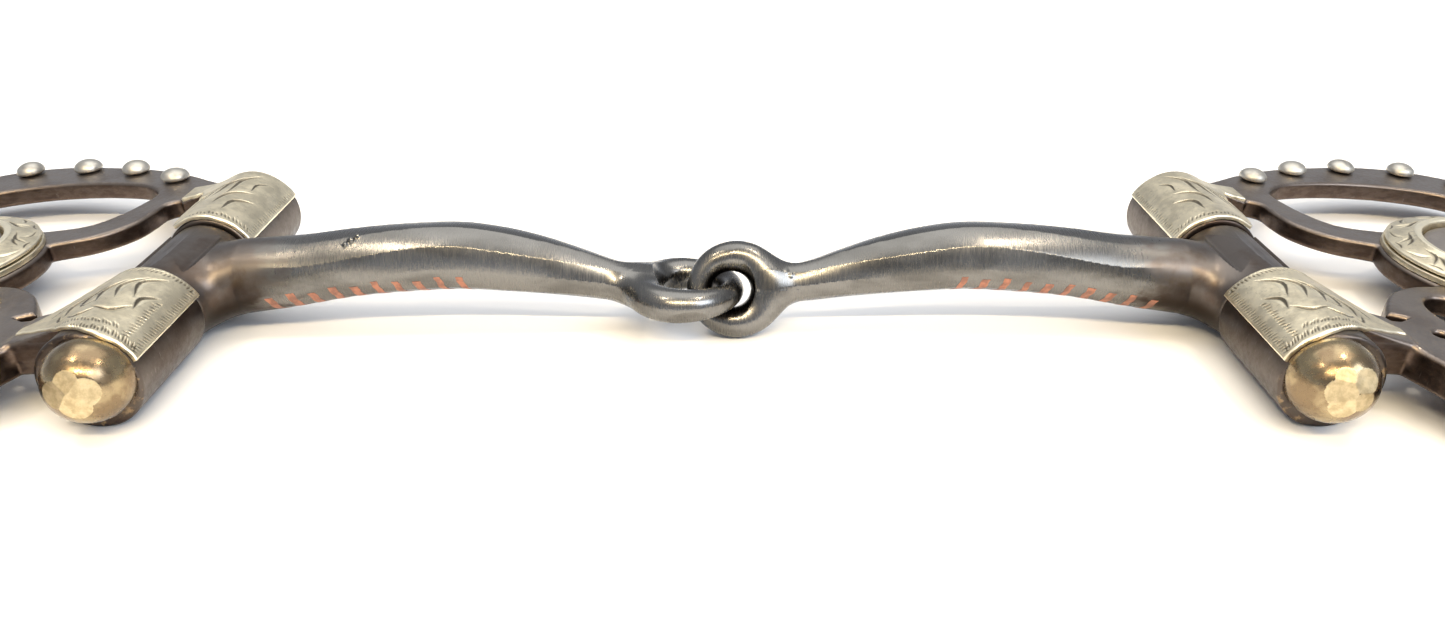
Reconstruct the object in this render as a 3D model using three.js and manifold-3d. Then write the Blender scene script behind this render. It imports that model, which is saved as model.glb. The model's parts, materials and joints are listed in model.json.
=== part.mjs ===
// A western shank bit with a jointed mouthpiece, laid flat with both cheeks swung outward.
// Millimetres, +X to the rider's right along the mouthpiece, +Y towards the headstall, +Z up off the table.
import * as THREE from 'three';
import { mergeVertices } from 'three/addons/utils/BufferGeometryUtils.js';
import Module from 'manifold-3d';

const wasm = await Module();
wasm.setup();

// ---- driving dimensions ----
const GAP = 0.3;                    // clearance kept between neighbouring solids
const HINGE_X = 70;                 // cheek hinge axis from the middle of the mouth
const AXIS_Z = 6;                   // height of the hinge axis, equal to the barrel radius
const MOUTH_Y = -1.2;               // the cannons run along this line
const LINK_Y = -2.4;                // the eyes hang slightly nearer

const BARREL = { radius: 6, bore: 3.35, nearEnd: -26.3, nearStop: -9.5, farStop: 7.1, farEnd: 25.8 };
const STRAP = { inner: 5.8, outer: 6.7, fromDeg: -25, toDeg: 28, lap: 2 };
const PIN = { radius: 3, headRadius: 4.3, headThick: 1.1 };
const SLEEVE = { radius: 5.5, sideGap: 0.3 };
const BALL = { radius: 4.9, inboard: 0.9, lift: 0.9, rim: 0.5, socketEnd: -28.6 };
const CUFF = { thick: 0.6, inboardDeg: 160, wrapDeg: 55, leaveDeg: 73, flatFrom: 7.2 };

// heights above the hinge axis, in the cheek's own frame: the face carries the silver
const PLATE = { face: 3.175, back: 0.375, neckBack: -0.9, shankBack: -3.175, neckX: 20, neckY: -34 };
const LOBE_END = -15.2;              // the plate is thin as far down as this
const SHANK_REACH = 43.9;           // how far out the thick part of the shank comes
const CONCHO = { x: 37, y: 3, radius: 14.4, seat: 14.9, hole: 10.1, backThick: 0.8, edge: 0.7, rise: 1.7 };
const STUD = { radius: 2.15, height: 1.7 };
const REIN_BOSS = { x: 18, y: -99, lift: 0.4, radius: 5.1, hole: 2.7, flare: 4 };
const REIN_RING = { radius: 16, wire: 2.1 };

const EYE = {
  left: { x: -3.4, along: 5.9, across: 6.6, tiltDeg: -7, wireSide: 2.35, wireTip: 1.65 },
  right: { x: 2.9, along: 4.6, across: 4.35, tiltDeg: 67, wireSide: 2.05, wireTip: 1.65 },
  z: 6.1,
};
// distance from the middle of the mouth, height of the centre line, diameter
const CANNON = [
  [61.4, 7.5, 9.9], [54, 8.3, 9.4], [47, 9.4, 9.1], [40, 10.1, 9.1], [33, 10.4, 9.0], [27.5, 9.9, 8.6],
  [22, 9.0, 7.7], [17, 7.9, 6.5], [12.5, 6.8, 5.4],
];
const INLAY = { count: 10, first: 32, pitch: 2.75, width: 1.05, deep: 0.6, fromDeg: 14, toDeg: 86, slant: 1.1 };

// ---- materials ----
const metal = (color, roughness, metalness = 1) => new THREE.MeshStandardMaterial({ color, roughness, metalness });
const sweetIron = metal(0x8b8782, 0.38);
const brownSteel = metal(0x5a4b42, 0.42);
const silver = metal(0xb9b39c, 0.42);
const bright = metal(0xd4d2cc, 0.22);
const brass = metal(0xb99a5a, 0.32);
const copper = metal(0xc0714f, 0.55);

// ---- geometry helpers ----
const rad = THREE.MathUtils.degToRad;
const vec = (x, y, z) => new THREE.Vector3(x, y, z);
const ramp = (x, a, b) => THREE.MathUtils.smoothstep(x, a, b);

function signedVolume(geometry) {
  const p = geometry.attributes.position;
  const index = geometry.index.array;
  const corner = (i) => vec(p.getX(index[i]), p.getY(index[i]), p.getZ(index[i]));
  let sum = 0;
  for (let i = 0; i < index.length; i += 3) {
    sum += corner(i).dot(corner(i + 1).cross(corner(i + 2)));
  }
  return sum / 6;
}

// Shares equal vertices and turns the faces outward, whichever way round they were made.
function tidy(geometry) {
  geometry.deleteAttribute('normal');
  geometry.deleteAttribute('uv');
  const merged = mergeVertices(geometry, 1e-5);
  if (signedVolume(merged) < 0) {
    merged.index.array.reverse();
  }
  return merged;
}

function toSolid(geometry) {
  const g = tidy(geometry);
  const vertProperties = new Float32Array(g.attributes.position.array);
  const triVerts = new Uint32Array(g.index.array);
  return new wasm.Manifold(new wasm.Mesh({ numProp: 3, vertProperties, triVerts }));
}

function toGeometry(solid) {
  const mesh = solid.getMesh();
  const geometry = new THREE.BufferGeometry();
  geometry.setAttribute('position', new THREE.BufferAttribute(new Float32Array(mesh.vertProperties), 3));
  geometry.setIndex(new THREE.BufferAttribute(new Uint32Array(mesh.triVerts), 1));
  return geometry;
}

function mirrorX(geometry) {
  return tidy(geometry.clone().scale(-1, 1, 1));
}

// Skins a row of rings of points: either closed into a loop, or capped at both ends.
function loft(rings, closed = false) {
  const sides = rings[0].length;
  const points = rings.flat();
  const faces = [];
  const spans = closed ? rings.length : rings.length - 1;
  for (let i = 0; i < spans; i += 1) {
    const a = i * sides;
    const b = ((i + 1) % rings.length) * sides;
    for (let k = 0; k < sides; k += 1) {
      const n = (k + 1) % sides;
      faces.push(a + k, b + k, b + n, a + k, b + n, a + n);
    }
  }
  if (!closed) {
    const last = (rings.length - 1) * sides;
    for (let k = 1; k < sides - 1; k += 1) {
      faces.push(0, k, k + 1, last, last + k + 1, last + k);
    }
  }
  const geometry = new THREE.BufferGeometry().setFromPoints(points);
  geometry.setIndex(faces);
  return tidy(geometry);
}

// A straight round bar or tube along Y, from a profile of [radius, y] that closes on itself or on the axis.
function turnedY(profile, segments = 24) {
  const points = profile.map(([r, y]) => new THREE.Vector2(r, y));
  return tidy(new THREE.LatheGeometry(points, segments));
}

function tubeY(outer, inner, from, to, segments = 28) {
  return turnedY([[inner, from], [outer, from], [outer, to], [inner, to], [inner, from]], segments);
}

function rodY(radius, from, to, segments = 28) {
  return turnedY([[0, from], [radius, from], [radius, to], [0, to]], segments);
}

// A flat plate of the given outline from the height of its back up to the face.
function plateOf(shape, curveSegments, back = PLATE.back) {
  const geometry = new THREE.ExtrudeGeometry(shape, { depth: PLATE.face - back, bevelEnabled: false, curveSegments });
  return geometry.translate(0, 0, back);
}

function splineShape(points, divisions, closed = true) {
  const curve = new THREE.CatmullRomCurve3(points.map(([x, y]) => vec(x, y, 0)), closed, 'centripetal');
  const line = curve.getPoints(divisions).map((p) => new THREE.Vector2(p.x, p.y));
  return closed ? line.slice(0, -1) : line;
}

// ---- mouthpiece arms, in the assembly's own frame, built on the +X side ----
function stationAt(table, x) {
  const curve = new THREE.CatmullRomCurve3(table.map(([sx, z, d]) => vec(sx, z, d)), false, 'centripetal');
  const samples = curve.getPoints(120);
  return samples.reduce((best, p) => (Math.abs(p.x - x) < Math.abs(best.x - x) ? p : best));
}

function cannonTable(eye) {
  const root = Math.abs(eye.x) + eye.along - 0.4;
  return [...CANNON, [root, EYE.z, 2 * eye.wireSide]];
}

function cannonBar(eye) {
  const sides = 16;
  const table = cannonTable(eye);
  const curve = new THREE.CatmullRomCurve3(table.map(([x, z, d]) => vec(x, z, d)), false, 'centripetal');
  const rings = curve.getPoints(18).map((p) => {
    const ring = [];
    for (let k = 0; k < sides; k += 1) {
      const a = (k / sides) * 2 * Math.PI;
      ring.push(vec(p.x, MOUTH_Y + (p.z / 2) * Math.cos(a), p.y + (p.z / 2) * Math.sin(a)));
    }
    return ring;
  });
  return loft(rings);
}

// The eye's ring lies in a plane tilted about X; its tip faces the other arm and is worn thinner.
function eyeRing(eye, facing) {
  const sides = 10;
  const steps = 28;
  const tilt = rad(eye.tiltDeg);
  const middle = vec(eye.x, LINK_Y, EYE.z);
  const acrossAxis = vec(0, Math.cos(tilt), Math.sin(tilt));
  const normal = vec(0, -Math.sin(tilt), Math.cos(tilt));
  const rings = [];
  for (let i = 0; i < steps; i += 1) {
    const t = (i / steps) * 2 * Math.PI;
    const centre = middle.clone();
    centre.x += facing * eye.along * Math.cos(t);
    centre.addScaledVector(acrossAxis, eye.across * Math.sin(t));
    const outward = vec(facing * eye.across * Math.cos(t), 0, 0);
    outward.addScaledVector(acrossAxis, eye.along * Math.sin(t)).normalize();
    const wear = ((1 + Math.cos(t)) / 2) ** 2;
    const radius = eye.wireSide + (eye.wireTip - eye.wireSide) * wear;
    const ring = [];
    for (let k = 0; k < sides; k += 1) {
      const a = (k / sides) * 2 * Math.PI;
      ring.push(centre.clone()
        .addScaledVector(outward, radius * Math.cos(a))
        .addScaledVector(normal, radius * Math.sin(a)));
    }
    rings.push(ring);
  }
  return loft(rings, true);
}

// One strip let into the lower front of the cannon; grow > 0 gives the pocket that it sits in.
function inlayStrip(x, grow) {
  const [, z, diameter] = stationAt(CANNON, x).toArray();
  const outer = diameter / 2 + (grow > 0 ? 1 : 0);
  const inner = diameter / 2 - INLAY.deep - grow;
  const half = INLAY.width / 2 + grow;
  const endDeg = (grow / (diameter / 2)) * (180 / Math.PI);
  const from = INLAY.fromDeg - endDeg;
  const to = INLAY.toDeg + endDeg;
  const steps = 4;
  const rings = [];
  for (let i = 0; i <= steps; i += 1) {
    const down = rad(from + ((to - from) * i) / steps);
    const lean = INLAY.slant * (0.5 - i / steps);
    const at = (r, dx) => vec(x + lean + dx, MOUTH_Y - r * Math.cos(down), z - r * Math.sin(down));
    rings.push([at(inner, -half), at(inner, half), at(outer, half), at(outer, -half)]);
  }
  return loft(rings);
}

const inlayPlaces = Array.from({ length: INLAY.count }, (_, i) => INLAY.first + INLAY.pitch * i);

function cannonArm(eye) {
  let arm = toSolid(cannonBar(eye));
  // eyes are modelled on their true side of the mouth, then brought to +X to meet the cannon
  const ring = Math.sign(eye.x) > 0 ? eyeRing(eye, -1) : mirrorX(eyeRing(eye, 1));
  arm = arm.add(toSolid(ring));
  inlayPlaces.forEach((x) => {
    arm = arm.subtract(toSolid(inlayStrip(x, GAP)));
  });
  return toGeometry(arm);
}

// The T-shaped sleeve that turns on the hinge pin, with its flared stem.
function sleeveGeometry() {
  const from = BARREL.nearStop + SLEEVE.sideGap;
  const to = BARREL.farStop - SLEEVE.sideGap;
  const stations = [[61.7, 7.45, 5, 4.95], [63, 7.15, 5.4, 5], [64.7, 6.75, 6.1, 5.05], [66.6, 6.4, 6.9, 5.1],
    [69, 6.1, 7.6, 4.8]];
  const sides = 18;
  const rings = stations.map(([x, z, ry, rz]) => Array.from({ length: sides }, (_, k) => {
    const a = (k / sides) * 2 * Math.PI;
    return vec(x, MOUTH_Y + ry * Math.cos(a), z + rz * Math.sin(a));
  }));
  const onAxis = (geometry) => geometry.translate(HINGE_X, 0, AXIS_Z);
  return toGeometry(toSolid(onAxis(rodY(SLEEVE.radius, from, to)))
    .add(toSolid(loft(rings)))
    .subtract(toSolid(onAxis(rodY(BARREL.bore, from - 5, to + 5)))));
}

// ---- cheek pieces, in the cheek's own frame: x outboard from the hinge axis, plate level ----
function arcStrip(inner, outer, fromDeg, toDeg, yFrom, yTo) {
  const steps = 10;
  const rings = [];
  for (let i = 0; i <= steps; i += 1) {
    const a = rad(fromDeg + ((toDeg - fromDeg) * i) / steps);
    const at = (r, y) => vec(r * Math.cos(a), y, r * Math.sin(a));
    rings.push([at(inner, yFrom), at(outer, yFrom), at(outer, yTo), at(inner, yTo)]);
  }
  return loft(rings);
}

// Two knuckles and the strap that joins them on the outboard side.
function hingeTube() {
  const near = tubeY(BARREL.radius, BARREL.bore, BARREL.nearEnd, BARREL.nearStop);
  const far = tubeY(BARREL.radius, BARREL.bore, BARREL.farStop, BARREL.farEnd);
  const strap = arcStrip(STRAP.inner, STRAP.outer, STRAP.fromDeg, STRAP.toDeg,
    BARREL.nearStop - STRAP.lap, BARREL.farStop + STRAP.lap);
  return toGeometry(toSolid(near).add(toSolid(far)).add(toSolid(strap)));
}

function hingePin() {
  const { radius, headRadius, headThick } = PIN;
  const tip = BALL.socketEnd + GAP;
  const head = BARREL.farEnd + GAP;
  return turnedY([[0, tip], [radius, tip], [radius, head], [headRadius, head],
    [headRadius * 0.8, head + headThick], [0, head + headThick]], 28);
}

// A ball set a little off the axis on the near end of the barrel, socketed over the end of the pin.
function ballFinial() {
  const back = BARREL.nearEnd - GAP;
  const centre = back - BALL.rim;
  const profile = [[0, back], [BALL.radius, back]];
  const steps = 8;
  for (let i = 0; i <= steps; i += 1) {
    const a = ((Math.PI / 2) * i) / steps;
    profile.push([Math.max(0, BALL.radius * Math.cos(a)), centre - BALL.radius * Math.sin(a)]);
  }
  const socket = rodY(PIN.radius + GAP, BALL.socketEnd, back + 1);
  const ball = turnedY(profile).translate(-BALL.inboard, 0, BALL.lift);
  return toGeometry(toSolid(ball).subtract(toSolid(socket)));
}

// Inner line of a cuff over the knuckle from its inboard edge: it leaves the barrel at leaveDeg and runs
// straight down to the plate, or dips to the plate first where the barrel is wrapped further round.
function cuffLine(leaveDeg, flatFrom, tailEnd) {
  const inner = BARREL.radius + GAP;
  const plateTop = PLATE.face + GAP;
  const arcSteps = 12;
  const stations = [];
  for (let i = 0; i <= arcSteps; i += 1) {
    const a = rad(CUFF.inboardDeg + ((leaveDeg - CUFF.inboardDeg) * i) / arcSteps);
    stations.push({ x: inner * Math.cos(a), z: inner * Math.sin(a), nx: Math.cos(a), nz: Math.sin(a) });
  }
  const last = stations[arcSteps];
  const lean = Math.atan2(last.z - plateTop, tailEnd - last.x);
  for (let i = 1; i <= 4; i += 1) {
    if (flatFrom) {
      stations.push({ x: flatFrom + ((tailEnd - flatFrom) * (i - 1)) / 3, z: plateTop, nx: 0, nz: 1 });
    } else {
      const t = i / 4;
      const x = last.x + (tailEnd - last.x) * t;
      stations.push({ x, z: last.z + (plateTop - last.z) * t, nx: Math.sin(lean), nz: Math.cos(lean) });
    }
  }
  return stations;
}

// A soldered-on cuff: a thin sheet over the top of the knuckle that runs out over the plate.
// edges(x) gives the y range of the sheet; wrapped(y) is 1 where it hugs the barrel and 0 where it runs straight.
function cuffSheet(edges, tailEnd, wrapped) {
  const straight = cuffLine(CUFF.leaveDeg, 0, tailEnd);
  const hugging = cuffLine(CUFF.wrapDeg, CUFF.flatFrom, tailEnd);
  const rings = straight.map((s, i) => {
    const [y0, y1] = edges(s.x);
    const at = (up, y) => {
      const share = wrapped(y);
      const mix = (key) => s[key] + (hugging[i][key] - s[key]) * share;
      const size = Math.hypot(mix('nx'), mix('nz'));
      return vec(mix('x') + (mix('nx') / size) * up, y, mix('z') + (mix('nz') / size) * up);
    };
    const columns = 5;
    const below = [];
    const above = [];
    for (let k = 0; k <= columns; k += 1) {
      const y = y0 + ((y1 - y0) * k) / columns;
      below.push(at(0, y));
      above.unshift(at(CUFF.thick, y));
    }
    return [...below, ...above];
  });
  return loft(rings);
}

// The near cuff sweeps to a point along the shank; the far cuff ends in a short lobe on the loop.
const NEAR_CUFF = { tail: 10.4, near: -20.5, far: -19, weldEdge: -22.3 };
const FAR_CUFF = { tail: 10.2, near: 22.6, far: 27.4 };

function nearCuff() {
  return cuffSheet((x) => {
    const near = BARREL.nearEnd + 0.4;
    const far = BARREL.nearStop;
    const taper = 0.5 * ramp(x, 2.5, NEAR_CUFF.tail) + 0.5 * THREE.MathUtils.clamp((x - 2.5) / 7.9, 0, 1);
    return [near + (NEAR_CUFF.near - near) * ramp(x, -3, 10), far + (NEAR_CUFF.far - far) * taper];
  }, NEAR_CUFF.tail, () => 0);
}

function farCuff() {
  return cuffSheet((x) => {
    const near = BARREL.farStop + 0.1;
    const far = BARREL.farEnd - 0.7;
    return [
      near + (FAR_CUFF.near - near) * ramp(x, 2, 6.8),
      far + (FAR_CUFF.far - far) * ramp(x, 4, FAR_CUFF.tail),
    ];
  }, FAR_CUFF.tail, (y) => 1 - ramp(y, 13, 20));
}

// The fillet of weld under a cuff, from the barrel's shoulder down to the plate.
function weldWedge(from, to, tailEnd) {
  const line = cuffLine(CUFF.leaveDeg, 0, tailEnd);
  const { nx, nz } = line[line.length - 1];
  const shoulder = line[line.length - 5];
  const end = line[line.length - 1];
  const section = (y) => [
    vec(shoulder.x - nx * GAP, y, shoulder.z - nz * GAP),
    vec(end.x - nx * GAP, y, end.z - nz * GAP),
    vec(end.x - nx * GAP, y, PLATE.back + 1),
    vec(shoulder.x - nx * GAP, y, PLATE.back + 1),
  ];
  return loft([section(from), section(to)]);
}

// Headstall loop: a band that leaves the far knuckle, carries the studs round the top and comes back to the seat.
const LOOP_OUTER = [
  [5.5, 28.4], [10.6, 32.8], [15.5, 36.2], [22, 39.5], [30, 42], [38.5, 43.6], [46.5, 42.8], [53.4, 39],
  [58, 32], [59.3, 23.5], [57, 13.5], [50, 5], [36, 0], [24, 8], [18.3, 10.3], [15.7, 12.5], [13.8, 15.6],
  [13.1, 19.2], [12.6, 22.6], [9.8, 23.8], [5.5, 22.6],
];
const LOOP_INNER = [
  [16.5, 27.4], [19.5, 31.2], [24.5, 33.2], [31.5, 34.4], [39, 34.2], [46.5, 31.8], [51, 26.6], [51.4, 20.4],
  [47.5, 15], [36.6, 14], [24.6, 14.3], [20.6, 15.6], [18.4, 18.8], [17, 23],
];
// Shank: neck at the near knuckle, lobed top beside the seat, then a slow S down to the rein boss.
const SHANK = [
  [12.2, -13.6], [13.4, -11.2], [16, -7.6], [19.4, -5.4], [25, -4.2], [36, -2], [46, -4], [45.4, -11],
  [41.5, -19.5], [36.6, -28], [33.8, -38], [32.8, -49], [31, -61], [27.4, -73], [23.6, -84], [22, -95],
  [14, -95], [14.4, -84], [16.4, -72], [18.2, -60], [18.3, -48], [16.2, -37], [13, -29.5], [11.3, -25],
  [10.2, -22.3], [5, -22.3], [5, -15.2], [12.6, -15.6], [14.2, -14.6],
];
const NECK_CORNERS = 3;

function shankShape() {
  // the square neck keeps its corners, the rest is one flowing line
  const flowing = splineShape(SHANK.slice(0, -NECK_CORNERS - 1), 84, false);
  const corners = SHANK.slice(-NECK_CORNERS - 1).map(([x, y]) => new THREE.Vector2(x, y));
  const shape = new THREE.Shape([...flowing, ...corners]);
  const window = new THREE.Path().absellipse(21.8, -12.6, 3.3, 4.7, 0, 2 * Math.PI);
  const pinhole = new THREE.Path().absarc(16, -18.7, 0.9, 0, 2 * Math.PI);
  shape.holes.push(window, pinhole);
  return shape;
}

function cheekPlate() {
  const loop = new THREE.Shape(splineShape(LOOP_OUTER, 72));
  loop.holes.push(new THREE.Path(splineShape(LOOP_INNER, 52).reverse()));
  const seat = new THREE.Shape().absarc(CONCHO.x, CONCHO.y, CONCHO.seat, 0, 2 * Math.PI);
  // loop, seat and lobe are one thin plate, the neck below them is thicker and the shank thicker still
  const block = (x, y) => toSolid(new THREE.BoxGeometry(120, 120, 20).translate(x, y, 0));
  const neck = toSolid(plateOf(shankShape(), 6, PLATE.neckBack)).intersect(block(30, LOBE_END - 60));
  const thick = block(PLATE.neckX + 60, LOBE_END - 60).add(block(30, PLATE.neckY - 60));
  const core = toSolid(plateOf(shankShape(), 6, PLATE.shankBack)).intersect(thick);
  const boss = new THREE.SphereGeometry(REIN_BOSS.radius, 20, 12);
  boss.translate(REIN_BOSS.x, REIN_BOSS.y, REIN_BOSS.lift);
  const { hole, flare } = REIN_BOSS;
  const bossHole = turnedY([[0, -6], [flare, -6], [hole, -2], [hole, 2], [flare, 6], [0, 6]], 20);
  bossHole.rotateZ(-Math.PI / 2).translate(REIN_BOSS.x, REIN_BOSS.y, REIN_BOSS.lift);
  return toGeometry(toSolid(plateOf(loop, 1))
    .add(toSolid(plateOf(seat, 18)))
    .add(toSolid(plateOf(shankShape(), 6)))
    .add(neck)
    .add(core)
    .add(toSolid(weldWedge(NEAR_CUFF.weldEdge, LOBE_END, NEAR_CUFF.tail)))
    .add(toSolid(weldWedge(FAR_CUFF.near, BARREL.farEnd, FAR_CUFF.tail)))
    .add(toSolid(boss))
    .subtract(toSolid(bossHole))
    .subtract(toSolid(rodY(BARREL.radius + GAP, -40, 40, 28))));
}

const turnedZ = (profile, segments) => turnedY(profile, segments).rotateX(Math.PI / 2);
const onSeat = (geometry) => geometry.translate(CONCHO.x, CONCHO.y, PLATE.face + GAP);

function conchoBack() {
  const { radius, backThick } = CONCHO;
  return onSeat(turnedZ([[0, 0], [radius + 0.2, 0], [radius + 0.2, backThick * 0.5], [radius, backThick],
    [0, backThick]], 36));
}

function conchoRing() {
  const { radius, hole, backThick, edge, rise } = CONCHO;
  const low = backThick + GAP;
  return onSeat(turnedZ([[hole, low], [radius, low], [radius, low + edge * 0.6], [radius - 0.5, low + edge],
    [hole + 0.9, low + rise], [hole + 0.2, low + rise], [hole, low + rise - 0.3], [hole, low]], 36));
}

function conchoCentre() {
  const { hole, backThick } = CONCHO;
  const low = backThick + GAP;
  return onSeat(turnedZ([[0, low], [hole - GAP, low], [hole - GAP, low + 0.7], [hole - 1.1, low + 1.0],
    [0, low + 1.2]], 28));
}

function studDome() {
  const profile = [[0, 0], [STUD.radius, 0]];
  for (let i = 1; i <= 4; i += 1) {
    const a = (i / 4) * (Math.PI / 2);
    profile.push([Math.max(0, STUD.radius * Math.cos(a)), STUD.height * Math.sin(a)]);
  }
  return turnedZ(profile, 14);
}

// Studs along the crown of the loop, from the hinge side outward.
const STUD_PLACES = [[16, 33.4], [24.8, 38.3], [34.2, 40.9], [44.2, 40.9], [52, 36.9], [56, 29.2], [56, 20.2]];

// The loose ring hangs in the boss and leans down to the table.
function reinRing() {
  const sides = 10;
  const steps = 36;
  const rings = [];
  for (let i = 0; i < steps; i += 1) {
    const t = (i / steps) * 2 * Math.PI;
    const out = vec(Math.sin(t), Math.cos(t), 0);
    rings.push(Array.from({ length: sides }, (_, k) => {
      const a = (k / sides) * 2 * Math.PI;
      return out.clone().multiplyScalar(REIN_RING.radius + REIN_RING.wire * Math.cos(a))
        .add(vec(0, -REIN_RING.radius, REIN_RING.wire * Math.sin(a)));
    }));
  }
  return loft(rings, true);
}

// ---- assembly ----
const bit = new THREE.Group();

function addPiece(parent, name, geometry, material) {
  const mesh = new THREE.Mesh(geometry, material);
  mesh.name = name;
  parent.add(mesh);
  return mesh;
}

// The cheeks droop about the hinge until the outer edge of the thick shank rests on the table.
const droop = Math.asin((AXIS_Z + PLATE.shankBack) / SHANK_REACH);
// The ring's far side comes down to the table from the height of its boss.
const bossHeight = AXIS_Z + REIN_BOSS.lift * Math.cos(droop) - REIN_BOSS.x * Math.sin(droop);
const ringLean = Math.asin((bossHeight - REIN_RING.wire) / (2 * REIN_RING.radius));

for (const [side, sign] of [['left', -1], ['right', 1]]) {
  const handed = (geometry) => (sign > 0 ? geometry : mirrorX(geometry));
  const put = (parent, name, geometry, material) => addPiece(parent, `${side}_${name}`, handed(geometry), material);

  put(bit, 'cannon', cannonArm(EYE[side]), sweetIron);
  put(bit, 'sleeve', sleeveGeometry(), brownSteel);
  inlayPlaces.forEach((x, i) => put(bit, `inlay_${i + 1}`, inlayStrip(x, 0), copper));

  const cheek = new THREE.Group();
  cheek.position.set(sign * HINGE_X, 0, AXIS_Z);
  cheek.rotation.y = sign * droop;
  bit.add(cheek);
  put(cheek, 'cheek_plate', cheekPlate(), brownSteel);
  put(cheek, 'hinge_tube', hingeTube(), brownSteel);
  put(cheek, 'hinge_pin', hingePin(), brownSteel);
  put(cheek, 'ball_finial', ballFinial(), brass);
  put(cheek, 'cuff_near', nearCuff(), silver);
  put(cheek, 'cuff_far', farCuff(), silver);
  put(cheek, 'concho_back', conchoBack(), silver);
  put(cheek, 'concho_ring', conchoRing(), silver);
  put(cheek, 'concho_centre', conchoCentre(), brownSteel);
  STUD_PLACES.forEach(([x, y], i) => {
    const stud = put(cheek, `stud_${i + 1}`, studDome(), bright);
    stud.position.set(sign * x, y, PLATE.face + GAP);
  });

  const ring = put(bit, 'rein_ring', reinRing(), sweetIron);
  const reach = REIN_BOSS.x * Math.cos(droop) + REIN_BOSS.lift * Math.sin(droop);
  ring.position.set(sign * (HINGE_X + reach), REIN_BOSS.y, bossHeight);
  ring.rotation.x = ringLean;
}

// The origin is the middle of the footprint, at table level.
bit.updateMatrixWorld(true);
const box = new THREE.Box3().setFromObject(bit, true);
const middle = box.getCenter(new THREE.Vector3());
bit.children.forEach((child) => {
  child.position.x -= middle.x;
  child.position.y -= middle.y;
  child.position.z -= box.min.z;
});

export default bit;
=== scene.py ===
"""Looks for the western shank bit: fine surfaces, metal finishes, table, lights and camera.

Shapes are worked out in millimetres. An arm's own frame has y measured from the hinge joint and z from the
table. A cheek's own frame has x outboard from the hinge axis and z up from it, square to the plate.
"""
import functools
import json
import math
import random
from types import SimpleNamespace as Named

import bpy
import numpy as np
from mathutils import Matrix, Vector


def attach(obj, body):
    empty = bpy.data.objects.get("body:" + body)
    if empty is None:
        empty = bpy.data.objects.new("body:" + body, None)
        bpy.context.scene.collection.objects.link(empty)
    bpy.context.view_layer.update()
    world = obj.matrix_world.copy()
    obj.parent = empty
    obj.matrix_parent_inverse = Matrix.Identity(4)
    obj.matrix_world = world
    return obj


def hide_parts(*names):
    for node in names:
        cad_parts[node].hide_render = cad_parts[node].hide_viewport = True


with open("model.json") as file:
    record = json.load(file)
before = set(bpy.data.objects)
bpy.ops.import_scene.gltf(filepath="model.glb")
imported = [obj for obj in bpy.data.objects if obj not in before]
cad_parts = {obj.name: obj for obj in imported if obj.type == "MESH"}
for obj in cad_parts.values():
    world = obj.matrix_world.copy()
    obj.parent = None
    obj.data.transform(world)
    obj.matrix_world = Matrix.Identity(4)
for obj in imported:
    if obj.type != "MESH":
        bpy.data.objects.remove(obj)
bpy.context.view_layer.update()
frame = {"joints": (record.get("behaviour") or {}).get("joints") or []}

MM = 0.001
SIDES = {"left": -1, "right": 1}
dice = random.Random(4)

# ---- places taken from the frame ----
joints = {j["name"]: j for j in frame["joints"]}
hinge = np.array(joints["right_cheek_hinge"]["pos_m"]) / MM
boss = np.array(joints["right_ring_swing"]["pos_m"]) / MM
HINGE_X, HINGE_Y, AXIS_Z = hinge

# ---- sizes, in millimetres ----
REIN_BOSS = Named(x=18.0, y=-99.0, lift=0.4, radius=5.1, hole=2.7, throat=1.5, flare=0.33)
DROOP = math.atan2(REIN_BOSS.lift, REIN_BOSS.x) - math.atan2(boss[2] - AXIS_Z, boss[0] - HINGE_X)

MOUTH_Y = -1.2
LINK_Y = -2.4
BARREL = Named(
    radius=6.0, bore=3.35, near_end=-26.3, near_stop=-9.5, far_stop=7.1, far_end=25.8,
)
STRAP = Named(inner=5.8, outer=6.7, start=-25, end=28, lap=2.0)
PIN = Named(radius=3.0, head=4.3, thick=1.1)
SLEEVE = Named(radius=5.5, seam=61.55, stem_end=69.0, gap=0.3)
BALL = Named(radius=4.9, inboard=0.9, lift=0.9, rim=0.5)
BALL_POLE = (-0.06, -0.97, 0.20)
# flats on the balls: degrees round the pole, degrees off it, half width in degrees
BALL_FLATS = {
    "left": [(270, 14, 16), (172, 21, 19), (8, 20, 20), (82, 22, 21)],
    "right": [(222, 24, 18), (8, 13, 20), (150, 22, 15), (76, 23, 18), (300, 22, 13)],
}
PLATE = Named(face=3.175, back=0.375, neck_back=-0.9, shank_back=-3.175, neck_x=20, neck_y=-34)
LOBE_END = -15.2
WINDOW = Named(x=21.8, y=-12.6, half_x=3.3, half_y=4.7)
PINHOLE = Named(x=16, y=-18.7, radius=0.9)
CONCHO = Named(
    x=37.0, y=3.0, radius=14.4, seat=14.9, hole=10.1, back=0.8, edge=0.7, rise=1.7,
    gap=0.22, scrolls=12,
)
STUD = Named(radius=2.15, height=1.95, waist=0.5, tuck=50)
REIN_RING = Named(radius=16.0, wire=2.1)
# a cuff starts inboard and leaves the barrel at these degrees, running straight or hugging it
CUFF = Named(thick=0.55, gap=0.08, start=160, leave=73, wrap=56, sag=0.30)
NEAR_CUFF = Named(tail=10.4, near=-20.5, far=-19, taper=2.5)
FAR_CUFF = Named(tail=10.2, near=22.6, far=27.4)
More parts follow.
